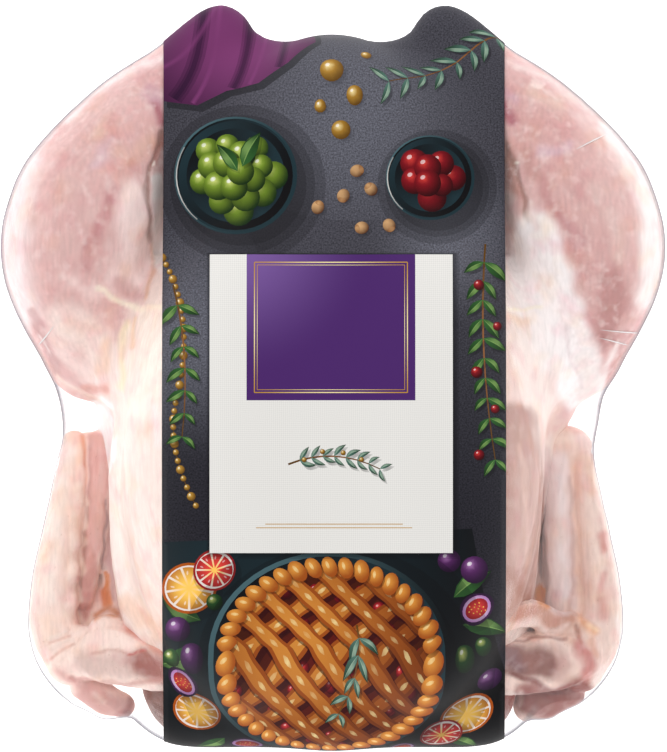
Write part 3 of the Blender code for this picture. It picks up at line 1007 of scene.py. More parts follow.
@dataclass
class ShrinkFilm:
    """The clear bag drawn tight round the bird: it spans the clefts between the lobes that it touches."""

    form: BirdForm
    voxel: float = 5.5
    rounds: int = 40
    steps: int = 9
    suction: float = 0.4
    clearance: float = 0.6
    wall: float = 0.1
    finish: ClearShrinkFilm = ClearShrinkFilm()
    coarse: bpy.types.Object = field(init=False)
    shift: Vector = field(init=False)
    surface: BVHTree = field(init=False)

    def shrink(self) -> None:
        """Draws the film over the plain bird, and finds how far it has to move to lie in the frame's box."""
        bird = self.form.whole()
        film = self.loose_bag(bird)
        even = film.modifiers.new("Even", "REMESH")
        even.mode = "VOXEL"
        even.voxel_size = self.voxel * MM
        for _ in range(self.rounds):
            tension = film.modifiers.new("Tension", "SMOOTH")
            tension.factor = 0.5
            tension.iterations = self.steps
            pull = film.modifiers.new("Suction", "DISPLACE")
            pull.strength = -self.suction * MM
            pull.mid_level = 0.0
            contact = film.modifiers.new("Contact", "SHRINKWRAP")
            contact.target = bird
            contact.wrap_method = "NEAREST_SURFACEPOINT"
            contact.wrap_mode = "OUTSIDE"
            contact.offset = self.clearance * MM
        self.coarse = worked_in(film, "film")
        bpy.data.objects.remove(bird)
        low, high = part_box("bagged_turkey")
        places = coordinates(self.coarse.data)
        middle = (places.min(0) + places.max(0)) / 2 * MM
        self.shift = Vector(((low.x + high.x) / 2 - middle[0], (low.y + high.y) / 2 - middle[1], 0.0))
        fine = self.finer(2)
        self.surface = BVHTree.FromPolygons(
            [vertex.co for vertex in fine.data.vertices], [face.vertices[:] for face in fine.data.polygons],
        )
        bpy.data.objects.remove(fine)

    @staticmethod
    def loose_bag(bird: bpy.types.Object) -> bpy.types.Object:
        """The convex shell that the bag makes round the bird before it shrinks.

        Args:
            bird: The bird.

        Returns:
            The shell.
        """
        work = bmesh.new()
        work.from_mesh(bird.data)
        found = bmesh.ops.convex_hull(work, input=work.verts)
        shell = {item for item in found["geom"] if isinstance(item, bmesh.types.BMFace)}
        bmesh.ops.delete(work, geom=[face for face in work.faces if face not in shell], context="FACES")
        bmesh.ops.recalc_face_normals(work, faces=work.faces)
        mesh = bpy.data.meshes.new("loose_bag")
        work.to_mesh(mesh)
        work.free()
        return added("loose_bag", mesh)

    def finer(self, levels: int) -> bpy.types.Object:
        """A smoother copy of the film, flat where it lies.

        Args:
            levels: How often its faces are divided.

        Returns:
            The copy.
        """
        copy = added("fine_film", self.coarse.data.copy())
        smooth = copy.modifiers.new("Smooth", "SUBSURF")
        smooth.levels = smooth.render_levels = levels
        return Clay.flattened(worked_in(copy, "fine_film"), 0.0)

    def held_inside(self, mesh: bpy.types.Mesh, gap: float) -> None:
        """Presses what would stick out of the film back inside it.

        Args:
            mesh: The mesh to press.
            gap: How far it has to stay from the film.
        """
        places = coordinates(mesh) * MM
        for index, place in enumerate(places):
            hit, normal, _, _ = self.surface.find_nearest(Vector(place))
            outside = (Vector(place) - hit).dot(normal)
            if outside > -gap * MM:
                places[index] = hit - normal * gap * MM
        places[:, 2] = np.maximum(places[:, 2], gap * MM)
        place_vertices(mesh, places / MM)

    def piece(self) -> bpy.types.Object:
        """The film itself, with a wall of its own thickness."""
        film = self.finer(1)
        wall = film.modifiers.new("Wall", "SOLIDIFY")
        wall.thickness = self.wall * MM
        wall.offset = -1.0
        film = worked_in(film, "shrink_film")
        film.data.materials.clear()
        film.data.materials.append(self.finish.material())
        film.data.shade_smooth()
        return film


@dataclass
class TurkeyBody:
    """The bird's trunk and legs, without its wings."""

    form: BirdForm
    film: ShrinkFilm
    skin: bpy.types.Material
    paint: SkinPaint
    voxel: float = 2.35
    softening: int = 10
    gap: float = 0.5
    neck_skin: tuple[Station, ...] = ((-54, -132, 53, 32), (0, -123, 68, 42.5), (52, -133, 53, 32))
    flank_lobe: Mass = ((97, 2, 58), (13, 27, 24))
    breast_walls: tuple[Mass, ...] = (((-49, -48, 82), (47, 72, 58)), ((46, -48, 82), (46, 70, 57)))
    thigh_pad: tuple[Station, ...] = ((90, 92, 82, 8), (88, 72, 84, 9.5), (87, 52, 86, 9), (87, 40, 84, 7))
    breast_sides: tuple[tuple[Station, ...], ...] = (
        (
            (-61, -12, 86, 34), (-60.5, -40, 91, 38), (-60, -70, 82, 38), (-59.5, -92, 70, 36),
            (-58, -108, 60, 34),
        ),
        (
            (53, -12, 86, 32), (56, -40, 90, 36), (55.5, -65, 84, 36.5), (55, -85, 74, 35.5),
            (54.5, -104, 62, 33.5),
        ),
    )

    def sculpt(self) -> bpy.types.Object:
        """Melts the trunk, the legs and the pads between them into one skin.

        Returns:
            The body, pressed into the film.
        """
        pieces = [self.form.torso(self.neck_skin), Clay.lump(self.flank_lobe), *self.form.legs()]
        pieces += Clay.limb(BirdForm.on_side(self.thigh_pad, Side.LEFT, 0.0))
        pieces += [Clay.lump(wall) for wall in self.breast_walls]
        for stations in self.breast_sides:
            pieces += Clay.limb(stations)
        body = Clay.melted(pieces, "turkey_body", self.voxel, self.softening)
        self.divide_where_seen(body.data)
        self.raise_skin(body.data)
        Clay.flattened(body, self.gap)
        self.film.held_inside(body.data, self.gap)
        self.dress(body)
        return body

    @staticmethod
    def divide_where_seen(mesh: bpy.types.Mesh) -> None:
        """Halves the faces of the flanks and legs, which show through the clear film.

        Args:
            mesh: The body's mesh.
        """
        work = bmesh.new()
        work.from_mesh(mesh)
        work.normal_update()
        seen = []
        for face in work.faces:
            middle = face.calc_center_median() / MM
            if abs(middle.x) > 70 and middle.z > 30 and face.normal.z > 0.05:
                seen.append(face)
        edges = {edge for face in seen for edge in face.edges}
        bmesh.ops.subdivide_edges(work, edges=list(edges), cuts=1, use_grid_fill=True)
        work.to_mesh(mesh)
        work.free()

    def raise_skin(self, mesh: bpy.types.Mesh) -> None:
        """Gives the skin its folds and small lumps.

        Args:
            mesh: The body's mesh.
        """
        places, outward = coordinates(mesh), normals(mesh)
        height = self.paint.relief(places, outward[:, 2])
        height += 0.22 * wander(places, 7.0, 3.0) + 0.10 * wander(places, 2.6, 4.0)
        place_vertices(mesh, places + outward * height[:, None])

    def base_tones(self, places: np.ndarray) -> tuple[np.ndarray, np.ndarray]:
        """The tones of the breast, back, legs and neck, run into each other.

        Args:
            places: The points.

        Returns:
            The tones and how flecked each point is.
        """
        paint = self.paint
        tones = np.tile(np.array(linear(paint.breast_tone)), (len(places), 1))
        mottle = np.full(len(places), 0.12)

        def lay(tone: str, share: np.ndarray, flecked: float) -> None:
            """Lays one tone over the rest.

            Args:
                tone: The tone.
                share: How much of it each point takes.
                flecked: How flecked it is.
            """
            tones[:] += (np.array(linear(tone)) - tones) * share[:, None]
            mottle[:] += (flecked - mottle) * share

        lay(paint.back_tone, 1.0 - smooth_step(22.0, 52.0, places[:, 2]), 0.3)
        lay(paint.neck_tone, 1.0 - smooth_step(-146.0, -128.0, places[:, 1]), 0.3)
        for side in Side:
            for stations in (self.form.drumstick, self.form.thigh):
                leg = self.form.on_side(stations, side, self.form.leg_tuck[side])
                away = path_distance(places, [station[:3] for station in leg])
                lay(paint.leg_tone, 1.0 - smooth_step(30.0, 46.0, away), 1.0)
        return tones, mottle

    def dress(self, body: bpy.types.Object) -> None:
        """Paints the skin and gives it its finish.

        Args:
            body: The body.
        """
        places, outward = coordinates(body.data), normals(body.data)
        tones, mottle = self.base_tones(places)
        store_tones(body.data, *self.paint.tones(places, outward[:, 2], tones, mottle))
        body.data.materials.clear()
        body.data.materials.append(self.skin)
        body.data.shade_smooth()


class NodeGroup:
    """A Geometry Nodes group with named inputs, worked into the object that it is used on."""

    def __init__(self, name: str, inputs: dict[str, str]) -> None:
        """Makes the group with its inputs and its one output.

        Args:
            name: The group's name.
            inputs: Each input's name and its kind of socket, after the geometry itself.
        """
        self.tree = bpy.data.node_groups.new(name, "GeometryNodeTree")
        self.tree.interface.new_socket("Geometry", in_out="INPUT", socket_type="NodeSocketGeometry")
        self.keys = {
            label: self.tree.interface.new_socket(label, in_out="INPUT", socket_type=kind).identifier
            for label, kind in inputs.items()
        }
        self.tree.interface.new_socket("Geometry", in_out="OUTPUT", socket_type="NodeSocketGeometry")
        self.start = add_node(self.tree, "NodeGroupInput")
        self.end = add_node(self.tree, "NodeGroupOutput")

    def finish(self, geometry: bpy.types.NodeSocket) -> None:
        """Realizes the geometry, gives it the material input, and ends the group with it.

        Args:
            geometry: The geometry made.
        """
        real = add_node(self.tree, "GeometryNodeRealizeInstances", inputs={0: geometry})
        named = {"Geometry": real.outputs[0], "Material": self.start.outputs["Material"]}
        dressed = add_node(self.tree, "GeometryNodeSetMaterial", inputs=named)
        self.tree.links.new(dressed.outputs[0], self.end.inputs[0])

    def worked_into(self, obj: bpy.types.Object, values: dict[str, object]) -> bpy.types.Object:
        """Runs the group on an object.

        Args:
            obj: The object, which is replaced.
            values: A value for each named input.

        Returns:
            The new object, a plain mesh.
        """
        modifier = obj.modifiers.new(self.tree.name, "NODES")
        modifier.node_group = self.tree
        for label, value in values.items():
            modifier[self.keys[label]] = value
        return worked_in(obj, obj.name)


class Follicles(NodeGroup):
    """Plucked follicles: pimples scattered over the skin's upper side, a touch darker than the skin."""

    def __init__(self) -> None:
        """Builds the group."""
        kinds = {
            "Density": "NodeSocketFloat", "Size": "NodeSocketFloat", "Seed": "NodeSocketInt",
            "Material": "NodeSocketMaterial",
        }
        super().__init__("Follicles", kinds)
        node, given = partial(add_node, self.tree), self.start.outputs
        up = node(
            "ShaderNodeSeparateXYZ", inputs={0: node("GeometryNodeInputNormal").outputs[0]},
        ).outputs["Z"]
        seen = node("ShaderNodeMath", {"operation": "GREATER_THAN"}, {0: up, 1: 0.1}).outputs[0]
        spots = node(
            "GeometryNodeDistributePointsOnFaces",
            inputs={
                "Mesh": given["Geometry"], "Selection": seen, "Density": given["Density"],
                "Seed": given["Seed"],
            },
        )
        pimple = node(
            "GeometryNodeMeshUVSphere", inputs={"Segments": 8, "Rings": 5, "Radius": 1.0},
        ).outputs["Mesh"]
        spread = node(
            "FunctionNodeRandomValue", {"data_type": "FLOAT"}, {2: 0.55, 3: 1.2, "Seed": given["Seed"]},
        ).outputs[1]
        radius = node("ShaderNodeMath", {"operation": "MULTIPLY"}, {0: spread, 1: given["Size"]}).outputs[0]
        height = node("ShaderNodeMath", {"operation": "MULTIPLY"}, {0: radius, 1: 0.3}).outputs[0]
        scale = node("ShaderNodeCombineXYZ", inputs={0: radius, 1: radius, 2: height}).outputs[0]
        placed = node(
            "GeometryNodeInstanceOnPoints",
            inputs={
                "Points": spots.outputs["Points"], "Instance": pimple, "Rotation": spots.outputs["Rotation"],
                "Scale": scale,
            },
        )
        loose = node("GeometryNodeRealizeInstances", inputs={0: placed.outputs[0]}).outputs[0]
        tone = node(
            "GeometryNodeInputNamedAttribute", {"data_type": "FLOAT_COLOR"}, {"Name": "tone"},
        ).outputs["Attribute"]
        deeper = node(
            "ShaderNodeMix", {"data_type": "RGBA"}, {0: 0.07, 6: tone, 7: (*linear("#B0705E"), 1.0)},
        ).outputs[2]
        toned = node(
            "GeometryNodeStoreNamedAttribute", {"data_type": "FLOAT_COLOR", "domain": "POINT"},
            {"Geometry": loose, "Name": "tone", "Value": deeper},
        ).outputs[0]
        both = node("GeometryNodeJoinGeometry")
        for geometry in (toned, given["Geometry"]):
            self.tree.links.new(geometry, both.inputs[0])
        self.finish(both.outputs[0])


class Creases(NodeGroup):
    """Fine creases: a small round bead run along each line drawn on the film."""

    def __init__(self) -> None:
        """Builds the group."""
        super().__init__("Creases", {"Radius": "NodeSocketFloat", "Material": "NodeSocketMaterial"})
        node, given = partial(add_node, self.tree), self.start.outputs
        along = node("GeometryNodeSplineParameter").outputs["Factor"]
        arch = node(
            "ShaderNodeMath", {"operation": "SINE"},
            {0: node("ShaderNodeMath", {"operation": "MULTIPLY"}, {0: along, 1: math.pi}).outputs[0]},
        ).outputs[0]
        slim = node("ShaderNodeMath", {"operation": "MULTIPLY_ADD"}, {0: arch, 1: 0.8, 2: 0.2}).outputs[0]
        width = node("ShaderNodeMath", {"operation": "MULTIPLY"}, {0: slim, 1: given["Radius"]}).outputs[0]
        profile = node(
            "GeometryNodeCurvePrimitiveCircle", inputs={"Resolution": 6, "Radius": 1.0},
        ).outputs["Curve"]
        bead = node(
            "GeometryNodeCurveToMesh",
            inputs={"Curve": given["Geometry"], "Profile Curve": profile, "Scale": width, "Fill Caps": True},
        )
        self.finish(bead.outputs["Mesh"])


@dataclass
class Wing:
    """A folded wing: upper arm, elbow, forearm with its roll of skin, and the tip tucked under."""

    name: str
    film: ShrinkFilm
    skin: bpy.types.Material
    paint: SkinPaint
    limbs: tuple[tuple[Station, ...], ...]
    lumps: tuple[Mass, ...]
    base_tone: str
    follicles: Follicles
    voxel: float = 0.9
    softening: int = 5
    gap: float = 0.5
    density: float = 0.035
    pimple: float = 0.42

    def sculpt(self) -> bpy.types.Object:
        """Melts the wing's limbs and folds into one skin, pressed into the film.

        Returns:
            The wing.
        """
        pieces = [piece for stations in self.limbs for piece in Clay.limb(stations)]
        pieces += [Clay.lump(mass) for mass in self.lumps]
        wing = Clay.melted(pieces, self.name, self.voxel, self.softening)
        places, outward = coordinates(wing.data), normals(wing.data)
        height = self.paint.relief(places, outward[:, 2])
        height += 0.30 * wander(places, 6.0, 5.0) + 0.16 * wander(places, 2.4, 6.0)
        place_vertices(wing.data, places + outward * height[:, None])
        self.film.held_inside(wing.data, self.gap)
        places, outward = coordinates(wing.data), normals(wing.data)
        base = np.tile(np.array(linear(self.base_tone)), (len(places), 1))
        tones, mottle = self.paint.tones(places, outward[:, 2], base, np.full(len(places), 0.35))
        store_tones(wing.data, tones, mottle)
        wing.data.materials.clear()
        values = {"Density": self.density / MM**2, "Size": self.pimple * MM, "Seed": 4, "Material": self.skin}
        wing = self.follicles.worked_into(wing, values)
        wing.data.shade_smooth()
        return wing


LEFT_WING_LIMBS = (
    (
        (-113.3, -28.8, 57, 5.4), (-114.6, -41.1, 57, 6.6), (-116.8, -54.4, 57, 8), (-119.8, -70, 57, 9.2),
        (-122.5, -92, 56, 10.4), (-122, -110, 55, 11), (-115, -125, 54, 11),
    ),
    (
        (-102.6, -29.5, 52, 6.4), (-102.2, -45.6, 53, 6.4), (-103.5, -63.3, 52, 6), (-106.2, -81, 51, 5.4),
        (-109.3, -98, 50, 4.4),
    ),
    ((-97.4, -40, 47, 4.2), (-97.2, -62, 47, 4.6), (-97.6, -86, 45, 4.6), (-95.5, -104, 48, 5)),
    ((-98.8, -88, 42, 4.5), (-98.4, -98, 43, 6.5), (-97, -108, 46, 9)),
    (
        (-106, -122, 60, 11.5), (-97.3, -121.5, 66, 14), (-86, -122, 70, 14.6), (-75, -123.8, 74, 14.4),
        (-58, -123, 78, 15),
    ),
    ((-109, -135.5, 48, 6.8), (-100, -141.6, 47, 7.2), (-92.5, -144.6, 45, 5.8)),
    ((-104, -40, 36, 12), (-108, -80, 30, 14), (-106, -112, 36, 17), (-82, -118, 40, 14)),
)

RIGHT_WING_LIMBS = (
    (
        (73.7, -107.5, 103, 6), (80.3, -104.5, 90, 6), (86.9, -103.6, 79, 6.4), (93.5, -105.8, 71, 5.8),
        (100.1, -108, 65, 5.2), (104.5, -107.5, 62, 4.6),
    ),
    (
        (111, -36.5, 57, 4.6), (112.2, -45.6, 58, 5.6), (113.8, -58.8, 58, 6.6), (115.9, -74.3, 57, 7.8),
        (118, -89.8, 56, 9), (118.4, -105, 55, 9.6), (115.5, -118, 54, 10.4), (109, -127.4, 53, 11.4),
    ),
    (
        (98.2, -31, 55, 7.8), (100, -54.4, 54, 8), (100.2, -72.1, 53, 7.8), (100, -89.8, 52, 7.6),
        (100, -104, 52, 7),
    ),
    ((93.5, -60, 40, 5), (93, -84, 41, 6), (92.5, -98, 44, 7.5), (92, -108, 46, 9)),
    (
        (108, -122, 58, 12.5), (98, -124.5, 64, 13.5), (86, -125.5, 68, 14), (74, -125.5, 72, 14.5),
        (56, -122, 77, 15.5),
    ),
    ((104.5, -139.5, 46, 7), (96.4, -144, 46, 8.4), (87.6, -144.5, 45, 8)),
    ((100, -40, 36, 12), (103, -80, 32, 15), (102, -112, 36, 17), (80, -120, 40, 14)),
)

LEFT_WING_LUMPS = (
    ((-113.4, -54, 58), (4.6, 7, 5.4)), ((-114.8, -71.5, 59), (4.8, 7.4, 6)),
    ((-115.2, -86, 59.5), (5, 6, 6.2)), ((-116, -98.8, 59), (5, 5.6, 6)),
    ((-117.2, -108.8, 58.5), (5, 4.6, 5.6)), ((-107.1, -29, 52), (6, 5, 6)), ((-98.3, -110, 67), (8.5, 6, 7)),
    ((-109.1, -113.2, 62), (6, 4.4, 5.6)), ((-119, -72, 62), (4.4, 7, 4.6)),
)

RIGHT_WING_LUMPS = (
    ((112.4, -110.2, 61), (6, 5, 5.4)), ((101.5, -30, 54), (13, 9, 8)), ((107.5, -64, 55), (5, 26, 5)),
    ((108, -99, 54), (6, 12, 6)), ((115.4, -72, 61), (4.6, 6, 4.6)), ((117.5, -94, 60), (5, 6.6, 5.2)),
    ((84.5, -107, 84), (4, 3, 3.4)), ((92, -109.4, 74), (3.4, 3.4, 3.2)),
    ((99.5, -111.5, 67.5), (3.6, 3, 3.2)),
)


class Ink(Enum):
    """The print's inks, each with its light, its middle and its dark tone."""

    SLATE = ("#62636D", "#46454D", "#212027")
    SHADOW = ("#0C0B0E", "#0C0B0E", "#0C0B0E")
    TEAL = ("#46636A", "#1D3138", "#0C0B0E")
    LINEN = ("#FFFFFF", "#E9E7E3", "#E9E7E3")
    PURPLE = ("#7A5A9C", "#4A2768", "#4A2768")
    VELVET = ("#7C3A6E", "#3C1738", "#230D2A")
    GOLD = ("#F2DFA0", "#B98A34", "#5A3C12")
    LEAF = ("#7FA25A", "#2F5D2C", "#12290F")
    SAGE = ("#9DB5A0", "#4F7267", "#12290F")
    GREEN_FRUIT = ("#D3DC7E", "#7D9A2E", "#12290F")
    DARK_OLIVE = ("#D3DC7E", "#2F5D2C", "#12290F")
    BERRY = ("#E0453C", "#8E1420", "#2E050A")
    PLUM = ("#A874AE", "#5B2A63", "#230D2A")
    ORANGE = ("#FBC95A", "#E98A1C", "#A34A0E")
    BLOOD_ORANGE = ("#E0453C", "#E98A1C", "#8E1420")
    CRUST = ("#DC943E", "#9C4C18", "#3E1608")
    FILLING = ("#5A1410", "#5A1410", "#3E1608")
    NUT = ("#D2A574", "#8A5A34", "#3E1608")

    def __init__(self, light: str, mid: str, dark: str) -> None:
        """Names the ink's three tones."""
        self.light, self.mid, self.dark = light, mid, dark


@dataclass(frozen=True)
class Patch:
    """One printed shape: its tone runs from its focus outwards, and it may let what is under it show."""

    outline: tuple[Point, ...]
    core: str
    rim: str
    focus: Point
    reach: float
    cover: tuple[float, float] = (1, 1)
    stone: float = 0.0
    weave: float = 0.0


class Outline:
    """Closed outlines on the print, each a list of points that a formula gives."""

    @staticmethod
    def oval(centre: Point, radii: Point, turn: float = 0.0, points: int = 16) -> tuple[Point, ...]:
        """An ellipse.

        Args:
            centre: Its middle.
            radii: Its two radii.
            turn: How far it is turned, in degrees.
            points: How many corners stand for it.

        Returns:
            The outline.
        """
        c, s = math.cos(math.radians(turn)), math.sin(math.radians(turn))
        corners = []
        for step in range(points):
            angle = math.tau * step / points
            a, b = radii[0] * math.cos(angle), radii[1] * math.sin(angle)
            corners.append((centre[0] + a * c - b * s, centre[1] + a * s + b * c))
        return tuple(corners)

    @staticmethod
    def blob(centre: Point, radii: Point, lobes: int, depth: float, turn: float) -> tuple[Point, ...]:
        """An oval with a wavy rim.

        Args:
            centre: Its middle.
            radii: Its two mean radii.
            lobes: How many waves its rim has.
            depth: How deep they are, as a share of the radius.
            turn: How far it is turned, in degrees.

        Returns:
            The outline.
        """
        points = 24
        rim = []
        for step, (u, v) in enumerate(Outline.oval((0.0, 0.0), radii, turn, points)):
            swell = 1 + depth * math.sin(lobes * math.tau * step / points + turn)
            rim.append((centre[0] + u * swell, centre[1] + v * swell))
        return tuple(rim)

    @staticmethod
    def leaf(base: Point, angle: float, length: float, width: float, bend: float) -> tuple[Point, ...]:
        """A pointed leaf blade.

        Args:
            base: Where its stalk starts.
            angle: The way it points, in degrees.
            length: From base to tip.
            width: Across its widest place.
            bend: How far its middle bows sideways.

        Returns:
            The outline, up one edge and down the other.
        """
        c, s = math.cos(math.radians(angle)), math.sin(math.radians(angle))
        edge = []
        for step in (0, 1, 2, 3, 4, 5, -4, -3, -2, -1):
            along = abs(step) / 5
            half = 0.5 * width * math.sin(math.pi * along ** 0.85) * math.copysign(1.0, step)
            across = half + bend * math.sin(math.pi * along)
            edge.append(
                (base[0] + along * length * c - across * s, base[1] + along * length * s + across * c),
            )
        return tuple(edge)

    @staticmethod
    def stroke(path: Sequence[Point], widths: Sequence[float]) -> tuple[Point, ...]:
        """A drawn line with a width of its own at each point.

        Args:
            path: The points that it passes.
            widths: Its width at each.

        Returns:
            The outline.
        """
        left, right = [], []
        for index, (point, width) in enumerate(zip(path, widths)):
            before, after = path[max(index - 1, 0)], path[min(index + 1, len(path) - 1)]
            run = Vector((after[0] - before[0], after[1] - before[1])).normalized()
            left.append((point[0] - run.y * width / 2, point[1] + run.x * width / 2))
            right.append((point[0] + run.y * width / 2, point[1] - run.x * width / 2))
        return tuple(left + right[::-1])

    @staticmethod
    def curve(start: Point, control: Point, end: Point, points: int = 12) -> list[Point]:
        """Points along a simple bow.

        Args:
            start: Its first end.
            control: What it bows towards.
            end: Its last end.
            points: How many points.

        Returns:
            The points.
        """
        steps = [step / (points - 1) for step in range(points)]
        bow = [((1 - t) ** 2, 2 * t * (1 - t), t * t) for t in steps]
        return [tuple(p * a + q * b + r * c for a, b, c in zip(start, control, end)) for p, q, r in bow]

    @staticmethod
    def box(low: Point, high: Point) -> tuple[Point, ...]:
        """A rectangle between two corners."""
        return (low, (high[0], low[1]), high, (low[0], high[1]))


class StillLife:
    """The printed scene: fruit, leaves, gold beads and a lattice pie on slate, round a plain linen label."""

    def __init__(self, half_width: float, half_length: float) -> None:
        """Starts with an empty print of that size."""
        self.patches: list[Patch] = []
        self.draw = random.Random(7)
        self.corner = (half_width, half_length)

    def lay(self, outline: tuple[Point, ...], core: str, rim: str = "", **more: object) -> None:
        """Prints one shape, shaded from its middle unless told otherwise.

        Args:
            outline: Its outline.
            core: Its tone at the focus.
            rim: Its tone at the reach, or the same where none is given.
            more: The patch's other fields.
        """
        middle = tuple(sum(values) / len(outline) for values in zip(*outline))
        far = max(math.dist(middle, corner) for corner in outline)
        focus, reach = more.pop("focus", middle), more.pop("reach", far)
        self.patches.append(Patch(outline, core, rim or core, focus, reach, **more))

    def disc(
        self, hub: Point, unit: float, at: Point, size: Point, core: str, rim: str = "",
        turn: float = 0.0, points: int = 16, **more: object,
    ) -> None:
        """Prints an ellipse that is placed and sized in units about a hub.

        Args:
            hub: The middle of what it belongs to.
            unit: The size of that.
            at: Where its own middle lies, in units.
            size: Its two radii, in units.
            core: Its tone at the focus.
            rim: Its tone at the reach.
            turn: How far it is turned, in degrees.
            points: How many corners stand for it.
            more: The patch's other fields.
        """
        centre = (hub[0] + unit * at[0], hub[1] + unit * at[1])
        self.lay(Outline.oval(centre, (unit * size[0], unit * size[1]), turn, points), core, rim, **more)

    def shadow(self, centre: Point, radii: Point, strength: float, points: int) -> None:
        """Prints a soft round shadow as rings that grow fainter outwards.

        Args:
            centre: The middle of what casts it.
            radii: The radii of what casts it.
            strength: How dark the shadow's middle is.
            points: How many corners each ring has.
        """
        for scale in (1.35, 1.18, 1.04):
            ring = (radii[0] * scale, radii[1] * scale)
            self.disc(
                centre, 1.0, (3, -4), ring, Ink.SHADOW.mid, points=points, cover=(strength / 2, strength / 2),
            )

    def slate(self) -> None:
        """The stone ground, with lighter and darker pools of light."""
        wide, long = self.corner
        ground, slate = Outline.box((-wide, -long), (wide, long)), Ink.SLATE
        self.lay(ground, slate.mid, slate.dark, focus=(5, 118), reach=215, stone=1.0)
        for centre, radii in (((8, 112), (62, 44)), ((52, 60), (40, 36)), ((-58, 20), (30, 60))):
            pool = Outline.oval(centre, radii, points=40)
            self.lay(pool, slate.light, focus=centre, reach=max(radii), cover=(0.75, 0.0), stone=1.0)

    def ball(self, centre: Point, radius: float, ink: Ink, shine: float = 0.8) -> None:
        """A round fruit or bead with its shadow and its highlight.

        Args:
            centre: Its middle.
            radius: Its radius.
            ink: Its ink.
            shine: How strong its highlight is.
        """
        points = 18 if radius > 3 else 10
        lit = dict(points=points, focus=(centre[0] - radius * 0.3, centre[1] + radius * 0.35))
        shade, glint = Ink.SHADOW.mid, Ink.LINEN.light
        self.disc(centre, radius, (0.25, -0.3), (1.25, 1.2), shade, points=points, cover=(0.8, 0.0))
        self.disc(centre, radius, (0, 0), (1, 1), ink.mid, ink.dark, reach=radius * 1.45, **lit)
        self.disc(
            centre, radius, (-0.3, 0.35), (0.62, 0.58), ink.light, ink.mid, reach=radius * 0.6,
            cover=(0.9, 0.1), **lit,
        )
        self.disc(
            centre, radius, (-0.36, 0.44), (0.2, 0.15), glint, turn=30, points=8, cover=(shine, shine * 0.5),
        )

    def blade(self, base: Point, angle: float, length: float, width: float, ink: Ink, bend: float) -> None:
        """A leaf with its shadow, a lighter half and its rib.

        Args:
            base: Where its stalk starts.
            angle: The way it points, in degrees.
            length: From base to tip.
            width: Across its widest place.
            ink: Its ink.
            bend: How far it bows.
        """
        dropped, rib = (base[0] + 0.9, base[1] - 1.1), max(width * 0.07, 0.25)
        lifted = Outline.leaf(base, angle, length * 0.97, width * 0.42, bend + width * 0.22)
        self.lay(Outline.leaf(dropped, angle, length, width * 1.1, bend), Ink.SHADOW.mid, cover=(0.55, 0.25))
        self.lay(
            Outline.leaf(base, angle, length, width, bend), ink.mid, ink.dark, focus=base, reach=length * 1.1,
        )
        self.lay(lifted, ink.light, ink.mid, cover=(0.75, 0.25))
        self.lay(Outline.leaf(base, angle, length * 0.96, rib, bend), ink.light, cover=(0.8, 0.8))

    def sprig(self, path: Sequence[Point], length: float, width: float, ink: Ink, spread: float = 48) -> None:
        """A twig with leaves on both sides.

        Args:
            path: The twig's way.
            length: How long its leaves are.
            width: How wide they are.
            ink: Their ink.
            spread: How far they stand off the twig, in degrees.
        """
        self.lay(
            Outline.stroke(path, [0.9 - 0.5 * i / len(path) for i in range(len(path))]), Ink.NUT.mid,
            Ink.GOLD.dark,
        )
        for index in range(1, len(path)):
            before, here = path[index - 1], path[index]
            heading = math.degrees(math.atan2(here[1] - before[1], here[0] - before[0]))
            for side in (-1, 1):
                size = self.draw.uniform(0.8, 1.1) * (1 - 0.35 * index / len(path))
                angle = heading + side * (spread + self.draw.uniform(-12, 12))
                self.blade(here, angle, length * size, width * size, ink, side * self.draw.uniform(0.2, 0.9))

    def cloth(self) -> None:
        """A folded velvet cloth across the upper left corner."""
        edge = ((-76, 222), (-10, 222), (-8, 152), (-20, 137), (-33, 128), (-47, 126), (-60, 119), (-76, 121))
        velvet = Ink.VELVET
        self.lay(tuple((u + 2.5, v - 3.0) for u, v in edge), Ink.SHADOW.mid, cover=(0.7, 0.35))
        self.lay(edge, velvet.light, velvet.mid, focus=(-44, 150), reach=52)
        folds = (
            ((-70, 122), (-52, 146), (-58, 222), 7.0, velvet.dark, 0.75),
            ((-62, 120), (-46, 144), (-50, 222), 2.4, velvet.light, 0.8),
            ((-44, 127), (-34, 146), (-38, 222), 6.0, velvet.dark, 0.7),
            ((-37, 128), (-27, 148), (-30, 222), 2.0, velvet.light, 0.8),
            ((-24, 135), (-19, 152), (-22, 222), 4.5, velvet.dark, 0.6),
            ((-76, 138), (-62, 146), (-52, 170), 3.0, velvet.light, 0.45),
        )
        for start, control, end, width, tone, cover in folds:
            path = Outline.curve(start, control, end)
            for scale, share in ((1.0, 0.45), (0.6, 0.5), (0.3, 0.6)):
                self.lay(
                    Outline.stroke(path, [width * scale] * len(path)), tone,
                    cover=(cover * share, cover * share),
                )

    def bowl(self, centre: Point, radius: float) -> None:
        """A dark glazed bowl, seen from above.

        Args:
            centre: Its middle.
            radius: Its outer radius.
        """
        teal, dark = Ink.TEAL, Ink.SHADOW.mid
        self.shadow(centre, (radius, radius * 0.96), 0.6, 36)
        lit = dict(points=40, focus=(centre[0] - radius * 0.8, centre[1] + radius * 0.6), reach=radius * 1.9)
        rings = (
            (1.0, teal.light, teal.mid), (0.965, dark, teal.mid), (0.93, teal.mid, dark),
            (0.80, dark, teal.mid),
        )
        for scale, core, rim in rings:
            self.disc(centre, radius, (0, 0), (scale, scale * 0.96), core, rim, **lit)
        turns = [math.radians(degrees) for degrees in range(150, 235, 8)]
        wide, long = radius * 0.965, radius * 0.93
        glint = [(centre[0] + wide * math.cos(a), centre[1] + long * math.sin(a)) for a in turns]
        self.lay(Outline.stroke(glint, [0.5] * len(glint)), Ink.LINEN.mid, cover=(0.7, 0.3))

